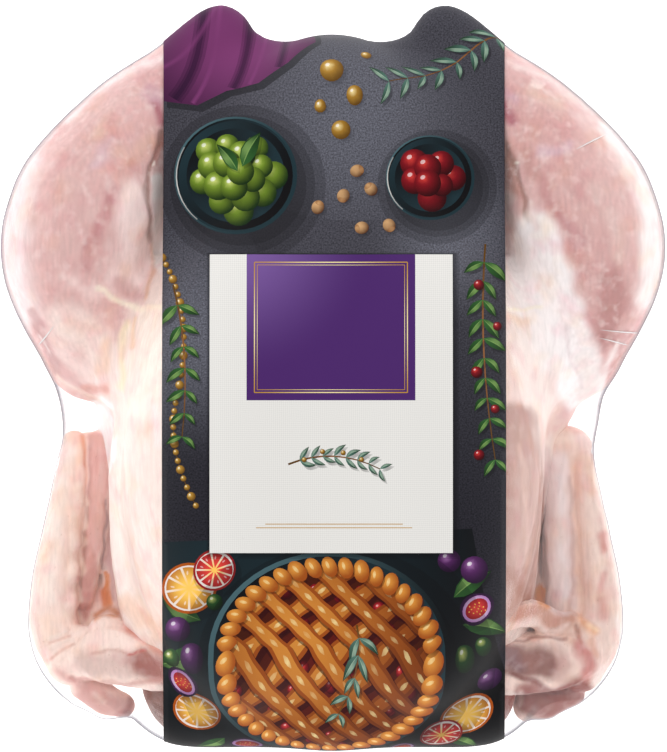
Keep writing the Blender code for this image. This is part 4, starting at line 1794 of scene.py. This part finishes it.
    def heap(self, centre: Point, reach: float, radius: float, count: int, ink: Ink) -> None:
        """Round fruit piled in a bowl.

        Args:
            centre: The bowl's middle.
            reach: How far from it the fruit lie.
            radius: Their mean radius.
            count: How many there are.
            ink: Their ink.
        """
        for index in range(count):
            away, angle = reach * math.sqrt((count - index - 0.5) / count), index * GOLDEN_ANGLE
            size = radius * self.draw.uniform(0.85, 1.12)
            self.ball((centre[0] + away * math.cos(angle), centre[1] + away * math.sin(angle)), size, ink)

    def citrus(self, centre: Point, radius: float, turn: float, ink: Ink) -> None:
        """A slice of orange with its wedges.

        Args:
            centre: Its middle.
            radius: Its radius.
            turn: How far it is turned, in degrees.
            ink: Its flesh's ink.
        """
        under = (centre[0] + 1.2, centre[1] - 1.8)
        self.disc(under, radius, (0, 0), (1.12, 1.08), Ink.SHADOW.mid, points=24, cover=(0.9, 0.3))
        self.disc(centre, radius, (0, 0), (1, 0.93), ink.mid, ink.dark, turn, 26)
        self.disc(
            centre, radius, (0, 0), (0.9, 0.83), Ink.ORANGE.light, Ink.LINEN.mid, turn, 26, cover=(0.9, 0.8),
        )
        wedges = 9
        half = math.tau / wedges * 0.42
        for index in range(wedges):
            a = math.radians(turn) + math.tau * index / wedges
            places = [(0.1, 0.1, 0.0)] + [(0.83, 0.77, k * half) for k in (-1, -0.5, 0, 0.5, 1)]
            wedge = [
                (centre[0] + radius * p * math.cos(a + k), centre[1] + radius * q * math.sin(a + k))
                for p, q, k in places
            ]
            self.lay(tuple(wedge), ink.light, ink.dark, focus=wedge[0], reach=radius)
            glisten = (0.6 * math.cos(a + 0.1), 0.56 * math.sin(a + 0.1))
            self.disc(
                centre, radius, glisten, (0.09, 0.035), Ink.LINEN.light, turn=math.degrees(a), points=6,
                cover=(0.55, 0.2),
            )

    def fig(self, centre: Point, radius: float, turn: float) -> None:
        """Half a fig, cut side up.

        Args:
            centre: Its middle.
            radius: Its radius.
            turn: How far it is turned, in degrees.
        """
        plum, berry, under = Ink.PLUM, Ink.BERRY, (centre[0] + 1, centre[1] - 1.5)
        self.disc(under, radius, (0, 0), (1.2, 1), Ink.SHADOW.mid, "", turn, 20, cover=(0.9, 0.2))
        self.lay(Outline.blob(centre, (radius, radius * 0.82), 3, 0.05, turn), plum.mid, plum.dark)
        self.disc(centre, radius, (0, 0), (0.84, 0.66), Ink.LINEN.mid, plum.light, turn, 20)
        self.disc(centre, radius, (0, 0), (0.68, 0.5), berry.light, berry.mid, turn, 20)
        seeds = 14
        for index in range(seeds):
            away, angle = 0.5 * math.sqrt((index + 0.5) / seeds), index * 2.4
            at = (away * math.cos(angle), away * 0.75 * math.sin(angle))
            self.disc(
                centre, radius, at, (0.05, 0.035), Ink.ORANGE.light, "", index * 50, 5, cover=(0.85, 0.85),
            )

    def nut(self, centre: Point, radius: float, turn: float) -> None:
        """A hazelnut in its shell.

        Args:
            centre: Its middle.
            radius: Its radius.
            turn: How far it is turned, in degrees.
        """
        nut, cap = Ink.NUT, (0.62 * math.cos(math.radians(turn)), 0.62 * math.sin(math.radians(turn)))
        lit = dict(focus=(centre[0] - radius * 0.3, centre[1] + radius * 0.3), reach=radius * 1.5)
        under = (centre[0] + 0.8, centre[1] - 1)
        self.disc(under, radius, (0, 0), (1.2, 1.1), Ink.SHADOW.mid, "", turn, 14, cover=(0.8, 0.1))
        self.disc(centre, radius, (0, 0), (1, 0.88), nut.light, nut.dark, turn, 18, **lit)
        self.disc(centre, radius, cap, (0.34, 0.6), nut.light, nut.mid, turn, 12, cover=(0.9, 0.7))

    def garland(self, path: Sequence[Point], radius: float) -> None:
        """A string of gold beads.

        Args:
            path: The string's way, with a bead at each point.
            radius: The beads' radius.
        """
        self.lay(Outline.stroke(path, [0.35] * len(path)), Ink.GOLD.dark)
        for index, point in enumerate(path):
            self.ball(point, radius * (1.0 if index % 3 else 1.45), Ink.GOLD, 0.9)

    def label(self, low: Point, high: Point, field_low: Point, field_high: Point) -> None:
        """The linen label with its plain purple field and its gold rules.

        Args:
            low: The label's lower left corner.
            high: Its upper right corner.
            field_low: The purple field's lower left corner.
            field_high: Its upper right corner.
        """
        for grow in (2.6, 1.7, 0.8):
            dropped = Outline.box(
                (low[0] - grow * 0.5, low[1] - grow), (high[0] + grow, high[1] + grow * 0.3),
            )
            self.lay(dropped, Ink.SHADOW.mid, cover=(0.28, 0.28))
        self.lay(Outline.box(low, high), Ink.LINEN.mid, focus=(0, 0), weave=1.0)
        glow = (field_low[0] - 6, field_high[1] + 8)
        self.lay(Outline.box(field_low, field_high), Ink.PURPLE.light, Ink.PURPLE.mid, focus=glow, reach=62)
        for inset, width in ((3.4, 0.45), (4.6, 0.25)):
            corner_low = (field_low[0] + inset, field_low[1] + inset)
            ring = Outline.box(corner_low, (field_high[0] - inset, field_high[1] - inset))
            for start, end in zip(ring, ring[1:] + ring[:1]):
                self.lay(Outline.stroke((start, end), (width, width)), Ink.GOLD.light, Ink.GOLD.mid)
        for v, half in ((low[1] + 11.0, 34.0), (low[1] + 12.6, 30.0)):
            self.lay(Outline.stroke(((-half, v), (half, v)), (0.35, 0.35)), Ink.GOLD.mid)

    def pie(self, centre: Point, radii: Point) -> None:
        """A glazed pie with a woven top and a rim of beads of dough, in a dark dish.

        Args:
            centre: Its middle.
            radii: Its two radii.
        """
        (u, v), (a, b) = centre, radii
        crust, teal, dark = Ink.CRUST, Ink.TEAL, Ink.SHADOW.mid
        self.shadow(centre, (a * 1.12, b * 1.12), 0.7, 48)
        lit = dict(focus=(u - a, v + b), reach=a * 2.4)
        self.disc(centre, 1.15, (0, 0), radii, teal.light, dark, points=56, **lit)
        self.disc(centre, 1.10, (0, 0), radii, dark, teal.mid, points=56, **lit)
        self.disc(centre, 1.0, (0, 0), radii, Ink.FILLING.mid, crust.dark, points=56)
        berries, beads = 60, 40
        for index in range(berries):
            angle, away = index * GOLDEN_ANGLE, math.sqrt((index + 0.5) / berries) * 0.9
            spot = (u + a * away * math.cos(angle), v + b * away * math.sin(angle))
            self.ball(spot, self.draw.uniform(2.0, 3.2), Ink.BERRY, 0.5)
        for heading in (38.0, -44.0):
            self.lattice(centre, radii, heading)
        for index in range(beads):
            angle = math.tau * index / beads
            spot = (u + a * 0.985 * math.cos(angle), v + b * 0.985 * math.sin(angle))
            lean, size = math.degrees(angle) + 24, self.draw.uniform(0.92, 1.08)
            lit = dict(focus=(spot[0] - 1.2, spot[1] + 1.2), reach=5.4)
            under, sheen = (spot[0] + 0.5, spot[1] - 0.7), (spot[0] - 0.9, spot[1] + 0.9)
            self.disc(under, size, (0, 0), (5.0, 3.7), crust.dark, "", lean, 14, cover=(1.0, 0.4))
            self.disc(spot, size, (0, 0), (4.8, 3.3), crust.light, crust.mid, lean, 16, **lit)
            self.disc(sheen, size, (0, 0), (1.9, 0.7), Ink.GOLD.light, "", lean, 8, cover=(0.7, 0.3))

    def lattice(self, centre: Point, radii: Point, heading: float) -> None:
        """One set of parallel pastry strips across the pie.

        Args:
            centre: The pie's middle.
            radii: Its two radii.
            heading: The way the strips run, in degrees.
        """
        c, s = math.cos(math.radians(heading)), math.sin(math.radians(heading))
        (u, v), (a, b) = centre, radii
        spacing, width, crust = 12.5, 7.4, Ink.CRUST
        for row in range(-3, 4):
            off = row * spacing
            points = []
            for step in range(-30, 31):
                along = step / 30 * max(radii) * 1.05
                p = (along * c - off * s, along * s + off * c)
                if (p[0] / a) ** 2 + (p[1] / b) ** 2 < 0.97:
                    points.append((u + p[0], v + p[1]))
            wave = [width + 0.5 * math.sin(step * 0.9 + row) for step in range(len(points))]
            under = Outline.stroke([(p[0] + 1.1, p[1] - 1.5) for p in points], [w * 1.12 for w in wave])
            top = Outline.stroke(points, [w * 0.62 for w in wave])
            self.lay(under, Ink.BERRY.dark, cover=(0.75, 0.6))
            self.lay(Outline.stroke(points, wave), crust.mid, crust.dark, focus=(u - 12, v + 14), reach=82)
            self.lay(top, crust.light, crust.mid, cover=(0.75, 0.3), focus=(u - 14, v + 12), reach=60)
            for start in range(1, len(points) - 4, 5):
                glow = self.draw.uniform(0.25, 0.75)
                glaze = Outline.stroke(points[start:start + 4], [0.3, 1.7, 1.5, 0.3])
                self.lay(glaze, Ink.GOLD.light, cover=(glow, glow * 0.4))

    def compose(self, low: Point, high: Point, field_low: Point, field_high: Point) -> list[Patch]:
        """Prints the whole scene, from the ground up.

        Args:
            low: The label's lower left corner.
            high: Its upper right corner.
            field_low: The purple field's lower left corner.
            field_high: Its upper right corner.

        Returns:
            The patches in printing order.
        """
        self.slate()
        self.cloth()
        self.sprig(Outline.curve((76, 168), (58, 138), (24, 128), 9), 15, 4.2, Ink.SAGE)
        for u, v, radius in ((-1, 132, 5.2), (9, 122, 3.6), (-6, 118, 2.6), (14, 141, 2.4), (3, 108, 4.2)):
            self.ball((u, v), radius, Ink.GOLD, 0.9)
        self.bowl((-43, 88), 27)
        self.heap((-43, 88), 17, 6.0, 17, Ink.GREEN_FRUIT)
        self.blade((-40, 92), 62, 17, 7, Ink.LEAF, 0.8)
        self.blade((-42, 90), 128, 15, 6, Ink.LEAF, -0.8)
        self.bowl((42, 87), 19.5)
        self.heap((42, 87), 10.5, 5.8, 8, Ink.BERRY)
        nuts = ((10, 90, 20), (16, 82, 130), (4, 79, 250), (-7, 74, 70), (24, 66, 300), (12, 65, 190))
        for u, v, turn in nuts:
            self.nut((u, v), 3.1, turn)
        self.garland(Outline.curve((-75, 52), (-60, 28), (-68, -8), 17), 1.35)
        self.garland(Outline.curve((-68, -8), (-74, -30), (-60, -56), 14), 1.35)
        self.sprig(Outline.curve((-70, 40), (-62, 10), (-66, -26), 8), 12, 4.4, Ink.LEAF)
        self.sprig(Outline.curve((66, 58), (62, 14), (70, -36), 12), 13, 4.8, Ink.LEAF)
        for u, v, radius in ((63, 40, 2.4), (71, 22, 2.0), (62, 2, 2.6), (70, -14, 2.0), (63, -34, 2.4)):
            self.ball((u, v), radius, Ink.BERRY)
        self.table_end()
        self.label(low, high, field_low, field_high)
        self.sprig(Outline.curve((-20, -38), (0, -30), (20, -40), 9), 8.5, 2.6, Ink.SAGE, 40)
        for centre in ((-5, -32.5), (4, -33), (12, -36), (-13, -36)):
            self.ball(centre, 1.15, Ink.GOLD, 0.9)
        return self.patches

    def table_end(self) -> None:
        """The laid end of the scene: the pie among orange slices, figs, plums and leaves on a dark cloth."""
        cloth = ((-76, -72), (60, -66), (66, -100), (76, -134), (76, -222), (-76, -222))
        self.lay(cloth, Ink.TEAL.mid, Ink.TEAL.dark, focus=(-20, -90), reach=100, cover=(0.92, 0.98))
        leaves = (
            (-58, -106, 150), (-60, -118, 205), (52, -96, 35), (56, -108, -10), (50, -160, -50),
            (-48, -160, 230),
        )
        slices = (
            (-63, -92, 12, 10), (-52, -84, 9.5, 40), (58, -148, 12, 30), (47, -158, 10, 70),
            (-60, -146, 11, 50),
        )
        plums = ((-68, -110, 5.5), (-62, -121, 5.0), (61, -84, 6.0), (50, -80, 5.0), (68, -132, 5.5))
        figs = ((62, -101, 8.0, 40), (-66, -132, 7.5, 120), (-38, -164, 8.0, 10), (30, -168, 7.5, 80))
        olives = (
            (57, -121, 4.2), (65, -117, 3.6), (-71, -122, 3.6), (-52, -98, 3.6), (12, -172, 4.4),
            (-12, -174, 4.0),
        )
        for u, v, angle in leaves:
            self.blade((u, v), angle, 20, 8, Ink.LEAF, 1.0)
        for index, (u, v, radius, turn) in enumerate(slices):
            self.citrus((u, v), radius, turn, Ink.BLOOD_ORANGE if index % 2 else Ink.ORANGE)
        for u, v, radius in plums:
            self.ball((u, v), radius, Ink.PLUM)
        for u, v, radius, turn in figs:
            self.fig((u, v), radius, turn)
        for u, v, radius in olives:
            self.ball((u, v), radius, Ink.DARK_OLIVE)
        self.pie((-2, -122), (46, 40))
        self.sprig(Outline.curve((10, -108), (14, -122), (2, -140), 6), 11, 3.6, Ink.SAGE, 34)


@dataclass(frozen=True)
class FilmCreases:
    """The few fine creases that stand in the film over the legs."""

    film: ShrinkFilm
    radius: float = 0.32
    lift: float = 0.12
    finish: ClearShrinkFilm = ClearShrinkFilm(name="creased_shrink_film", haze=0.6, straight_gloss=0.1)
    lines: tuple[tuple[Point, Point, Point], ...] = (
        ((107, 99.8), (113.6, 103.3), (120, 106.4)), ((117.6, 20.6), (126, 19.6), (134.8, 19.2)),
        ((117.2, 17), (123.4, 15.6), (130.2, 13.8)), ((-129, 13.8), (-125.4, 17.6), (-122, 22.2)),
    )

    def piece(self) -> bpy.types.Object:
        """Draws the lines on the film and gives them their beads."""
        data = bpy.data.curves.new("film_creases", "CURVE")
        data.dimensions = "3D"
        for start, control, end in self.lines:
            path = Outline.curve(start, control, end, 14)
            spline = data.splines.new("POLY")
            spline.points.add(len(path) - 1)
            for point, (x, y) in zip(spline.points, path):
                hit, normal, _, _ = self.film.surface.ray_cast(
                    Vector((x, y, 300.0)) * MM, Vector((0.0, 0.0, -1.0)),
                )
                point.co = (*(hit - normal * self.lift * MM), 1.0)
        drawn = added("film_creases", data)
        values = {"Radius": self.radius * MM, "Material": self.finish.material()}
        return Creases().worked_into(drawn, values)


@dataclass(frozen=True)
class PrintedFilm:
    """Printed polyolefin film: gravure inks under a satin lacquer, with the grain of stone and linen."""

    roughness: float = 0.6
    specular: float = 0.08
    grain_size: float = 0.75
    thread_size: float = 0.85

    def material(self) -> bpy.types.Material:
        """Builds the finish from the print's tones and the shares of stone grain and linen weave.

        Returns:
            The material.
        """
        made, tree, output = new_material("printed_film")
        node = partial(add_node, tree)
        tone = node("ShaderNodeAttribute", {"attribute_name": "print_tone"}).outputs["Color"]
        stone = node("ShaderNodeAttribute", {"attribute_name": "stone"}).outputs["Fac"]
        weave = node("ShaderNodeAttribute", {"attribute_name": "weave"}).outputs["Fac"]
        place = node("ShaderNodeAttribute", {"attribute_name": "print_place"}).outputs["Vector"]
        grain = node(
            "ShaderNodeTexNoise",
            inputs={"Vector": place, "Scale": 1 / (self.grain_size * MM), "Detail": 3.0, "Roughness": 0.7},
        ).outputs["Fac"]
        speckle = node(
            "ShaderNodeMapRange",
            inputs={"Value": grain, "From Min": 0.3, "From Max": 0.7, "To Min": 0.35, "To Max": 1.75},
        ).outputs["Result"]
        threads = []
        for direction in ("X", "Y"):
            threads.append(
                node(
                    "ShaderNodeTexWave", {"wave_type": "BANDS", "bands_direction": direction},
                    {
                        "Vector": place, "Scale": 0.314 / (self.thread_size * MM), "Distortion": 1.5,
                        "Detail": 1.0,
                    },
                ).outputs["Fac"],
            )
        crossed = node("ShaderNodeMath", {"operation": "ADD"}, {0: threads[0], 1: threads[1]}).outputs[0]
        cloth = node(
            "ShaderNodeMapRange", inputs={"Value": crossed, "From Max": 2.0, "To Min": 0.86, "To Max": 1.03},
        ).outputs["Result"]
        for pattern, share in ((speckle, stone), (cloth, weave)):
            shade = node("ShaderNodeMix", {"data_type": "FLOAT"}, {0: share, 2: 1.0, 3: pattern}).outputs[0]
            tone = node(
                "ShaderNodeVectorMath", {"operation": "SCALE"}, {0: tone, "Scale": shade},
            ).outputs["Vector"]
        lacquer = node(
            "ShaderNodeBsdfPrincipled",
            inputs={"Base Color": tone, "Roughness": self.roughness, "Specular IOR Level": self.specular},
        )
        tree.links.new(lacquer.outputs[0], output.inputs["Surface"])
        return made


@dataclass
class PrintedBand:
    """The printed part of the bag, across the breast and over both ends."""

    film: ShrinkFilm
    half_width: float = 74.8
    middle: float = 0.9
    turn_start: float = 118.0
    axis_height: float = 45.0
    end_reach: float = 46.0
    end_height: float = 16.0
    lift: float = 0.4
    wall: float = 0.15
    grid: float = 2.7
    label_low: Point = (-54.1, -76.6)
    label_high: Point = (51.6, 53.3)
    field_low: Point = (-38.1, -10.2)
    field_high: Point = (35.4, 53.3)
    finish: PrintedFilm = PrintedFilm()

    @property
    def half_length(self) -> float:
        """Half of the print's length, measured over the pack's end down to its lower edge."""
        return self.turn_start + self.end_reach * math.pi / 2 + self.axis_height - self.end_height

    def onto_film(self, u: float, v: float) -> Vector:
        """Where a point of the print lies on the pack.

        Args:
            u: Across the print.
            v: Along the print.

        Returns:
            The place in metres, just above the film.
        """
        x = self.middle + u
        end, beyond = math.copysign(1.0, v), abs(v) - self.turn_start
        quarter = self.end_reach * math.pi / 2
        if beyond <= 0:
            start, outward = Vector((x, v, 0.0)), Vector((0.0, 0.0, 1.0))
        elif beyond < quarter:
            angle = beyond / self.end_reach
            start = Vector((x, end * self.turn_start, self.axis_height))
            outward = Vector((0.0, end * math.sin(angle), math.cos(angle)))
        else:
            start = Vector((x, end * self.turn_start, self.axis_height - (beyond - quarter)))
            outward = Vector((0.0, end, 0.0))
        hit, normal, _, _ = self.film.surface.ray_cast((start + outward * 300.0) * MM, -outward)
        return hit + normal * self.lift * MM

    def piece(self) -> bpy.types.Object:
        """Cuts the print into its fields of colour, and lays it over the film."""
        life = StillLife(self.half_width, self.half_length)
        composed = life.compose(self.label_low, self.label_high, self.field_low, self.field_high)
        patches = [patch for patch in composed if self.shows(patch)]
        corners, outlines = self.gathered(patches)
        edges = [edge for ring in outlines for edge in zip(ring, ring[1:] + ring[:1])]
        found = delaunay_2d_cdt(corners, edges, [], 0, 0.002, False)
        flat, triangles = found[0], found[2]
        mesh = bpy.data.meshes.new("printed_band")
        mesh.from_pydata([self.onto_film(point.x, point.y) for point in flat], [], triangles)
        plan = np.array([(point.x, point.y) for point in flat])
        rings = [np.array([tuple(corners[index]) for index in ring]) for ring in outlines]
        self.colour(mesh, patches, rings, plan, np.array(triangles))
        band = added("printed_band_film", mesh)
        skin = band.modifiers.new("Skin", "SOLIDIFY")
        skin.thickness = self.wall * MM
        skin.offset = -1.0
        band = worked_in(band, "printed_band_film")
        band.data.materials.clear()
        band.data.materials.append(self.finish.material())
        band.data.shade_smooth()
        return band

    def shows(self, patch: Patch) -> bool:
        """Whether a shape reaches in over the print's two long edges."""
        across = [u for u, _ in patch.outline]
        return min(across) < self.half_width - 0.1 and max(across) > 0.1 - self.half_width

    def gathered(self, patches: Sequence[Patch]) -> tuple[list[Vector], list[list[int]]]:
        """Collects the outlines' corners, kept within the print, and a grid of points between them.

        Args:
            patches: The print's shapes.

        Returns:
            The corners, and each shape's own corners by number.
        """
        wide, long = self.half_width, self.half_length
        corners: list[Vector] = []
        faces: list[list[int]] = []
        for patch in patches:
            start = len(corners)
            outline = self.stepped(patch.outline)
            corners += [Vector((min(max(u, -wide), wide), min(max(v, -long), long))) for u, v in outline]
            faces.append(list(range(start, len(corners))))
        columns, rows = round(2 * wide / self.grid), round(2 * long / self.grid)
        for i in range(columns + 1):
            for j in range(rows + 1):
                corners.append(Vector((-wide + 2 * wide * i / columns, -long + 2 * long * j / rows)))
        return corners, faces

    def stepped(self, outline: Sequence[Point]) -> list[Point]:
        """Divides an outline's long edges, so that they can follow the film.

        Args:
            outline: The outline.

        Returns:
            The outline with no edge longer than the grid's step.
        """
        points = []
        for start, end in zip(outline, outline[1:] + outline[:1]):
            steps = max(math.ceil(math.dist(start, end) / self.grid), 1)
            points += [tuple(a + (b - a) * k / steps for a, b in zip(start, end)) for k in range(steps)]
        return points

    @staticmethod
    def colour(
        mesh: bpy.types.Mesh,
        patches: Sequence[Patch],
        rings: Sequence[np.ndarray],
        plan: np.ndarray,
        triangles: np.ndarray,
    ) -> None:
        """Prints the patches over each other on every triangle that they cover.

        Args:
            mesh: The print's mesh.
            patches: The print's shapes, in printing order.
            rings: The outline of each, as it is cut into the mesh.
            plan: The flat places of the mesh's vertices.
            triangles: The mesh's faces.
        """
        places = plan[triangles]
        middles = places.mean(axis=1)
        tones = np.zeros((len(triangles), 3, 3))
        grain = np.zeros((len(triangles), 3, 2))
        for patch, ring in zip(patches, rings):
            faces = inside(ring, middles)
            away = np.linalg.norm(places[faces] - np.array(patch.focus), axis=2) / patch.reach
            share = smooth_step(0.0, 1.0, away)[..., None]
            tone = np.array(linear(patch.core)) * (1 - share) + np.array(linear(patch.rim)) * share
            cover = patch.cover[0] * (1 - share) + patch.cover[1] * share
            tones[faces] += (tone - tones[faces]) * cover
            grain[faces] += (np.array((patch.stone, patch.weave)) - grain[faces]) * cover
        colours = np.concatenate([tones, np.ones((len(triangles), 3, 1))], axis=2).astype(np.float32)
        mesh.color_attributes.new(
            "print_tone", "FLOAT_COLOR", "CORNER",
        ).data.foreach_set("color", colours.ravel())
        for index, name in enumerate(("stone", "weave")):
            values = grain[..., index].astype(np.float32).ravel()
            mesh.attributes.new(name, "FLOAT", "CORNER").data.foreach_set("value", values)
        flat = np.concatenate([plan * MM, np.zeros((len(plan), 1))], axis=1).astype(np.float32)
        mesh.attributes.new("print_place", "FLOAT_VECTOR", "POINT").data.foreach_set("vector", flat.ravel())


@dataclass
class Studio:
    """The plain white sweep, the soft lights and the camera that looks straight down on the pack."""

    middle: Vector
    distance: float = 10.0
    long_side: float = 0.3327
    sensor: float = 36.0
    floor_size: float = 60.0
    floor_glow: float = 0.9
    sky_low: float = 0.81
    sky_high: float = 0.89
    sun_strength: float = 0.5
    sun_spread: float = 35.0

    def build(self) -> None:
        """Sets up the floor, the sky, the lights and the camera."""
        bpy.context.scene.view_settings.view_transform = "Standard"
        self.floor()
        self.sky()
        self.sun()
        data = bpy.data.cameras.new("camera")
        data.sensor_width = self.sensor
        data.lens = self.distance * self.sensor / self.long_side
        data.clip_start, data.clip_end = 0.1, 100.0
        camera = added("camera", data)
        camera.location = self.middle + Vector((0.0, 0.0, self.distance))
        bpy.context.scene.camera = camera

    def floor(self) -> None:
        """A white sweep, lit so evenly that no shadow shows on it."""
        half = self.floor_size / 2
        mesh = bpy.data.meshes.new("white_sweep")
        mesh.from_pydata(
            [(-half, -half, 0), (half, -half, 0), (half, half, 0), (-half, half, 0)], [], [(0, 1, 2, 3)],
        )
        sweep = added("white_sweep", mesh)
        sweep.location.z = -MM
        made, tree, output = new_material("white_backdrop_paper")
        node = partial(add_node, tree)
        paper = node(
            "ShaderNodeBsdfPrincipled",
            inputs={
                "Base Color": (*linear("#F4F4F4"), 1.0), "Roughness": 0.9,
                "Emission Color": (1.0, 1.0, 1.0, 1.0), "Emission Strength": self.floor_glow,
            },
        )
        tree.links.new(paper.outputs[0], output.inputs["Surface"])
        mesh.materials.append(made)

    def sky(self) -> None:
        """A white sky that grows brighter overhead, so that the film mirrors no hard shape."""
        world = bpy.data.worlds.new("white_studio")
        world.use_nodes = True
        tree = world.node_tree
        node = partial(add_node, tree)
        up = node(
            "ShaderNodeSeparateXYZ", inputs={0: node("ShaderNodeTexCoord").outputs["Generated"]},
        ).outputs["Z"]
        strength = node(
            "ShaderNodeMapRange",
            inputs={
                "Value": up, "From Min": -0.2, "From Max": 1.0, "To Min": self.sky_low,
                "To Max": self.sky_high,
            },
        ).outputs["Result"]
        tree.links.new(strength, tree.nodes["Background"].inputs["Strength"])
        tree.nodes["Background"].inputs["Color"].default_value = (1.0, 1.0, 1.0, 1.0)
        bpy.context.scene.world = world

    def sun(self) -> None:
        """A broad soft light from the upper left, which itself isn't mirrored."""
        data = bpy.data.lights.new("broad_key", "SUN")
        data.energy = self.sun_strength
        data.angle = math.radians(self.sun_spread)
        key = added("broad_key", data)
        key.rotation_euler = Vector((0.35, -0.3, -1.0)).to_track_quat("-Z", "Y").to_euler()
        key.visible_glossy = False


def handed_over(piece: bpy.types.Object, node: str, shift: Vector) -> None:
    """Moves a finished piece into the frame, hangs it under the root and hides the node that it stands for.

    Args:
        piece: The finished piece.
        node: The node of the frame that it stands for.
        shift: How far its mesh has to move.
    """
    piece.data.transform(Matrix.Translation(shift))
    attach(piece, "root")
    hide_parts(node)
    LOG.info("%s: %d vertices", piece.name, len(piece.data.vertices))


def main() -> None:
    """Builds the pack in order and reports each piece."""
    logging.basicConfig(level=logging.INFO, format="%(name)s: %(message)s")
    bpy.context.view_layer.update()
    form = BirdForm()
    film = ShrinkFilm(form)
    film.shrink()
    skin = RawPoultrySkin().material()
    pores = Follicles()
    body = TurkeyBody(form, film, skin, SkinPaint(marks=BODY_MARKS))
    handed_over(body.sculpt(), "bagged_turkey", film.shift)
    left = Wing(
        "left_wing", film, skin, SkinPaint(marks=LEFT_WING_MARKS), LEFT_WING_LIMBS, LEFT_WING_LUMPS,
        "#FEE3D8", pores,
    )
    right = Wing(
        "right_wing", film, skin, SkinPaint(marks=RIGHT_WING_MARKS), RIGHT_WING_LIMBS, RIGHT_WING_LUMPS,
        "#EFD2C7", pores,
    )
    for wing in (left, right):
        handed_over(wing.sculpt(), "bagged_turkey", film.shift)
    handed_over(film.piece(), "bagged_turkey", film.shift)
    handed_over(FilmCreases(film).piece(), "bagged_turkey", film.shift)
    handed_over(PrintedBand(film).piece(), "printed_band", film.shift)
    bpy.data.objects.remove(film.coarse)
    view_shift = Vector((0.66, 0.44, 0.0)) * MM
    Studio(film.shift + view_shift).build()


if __name__ == "__main__":
    main()
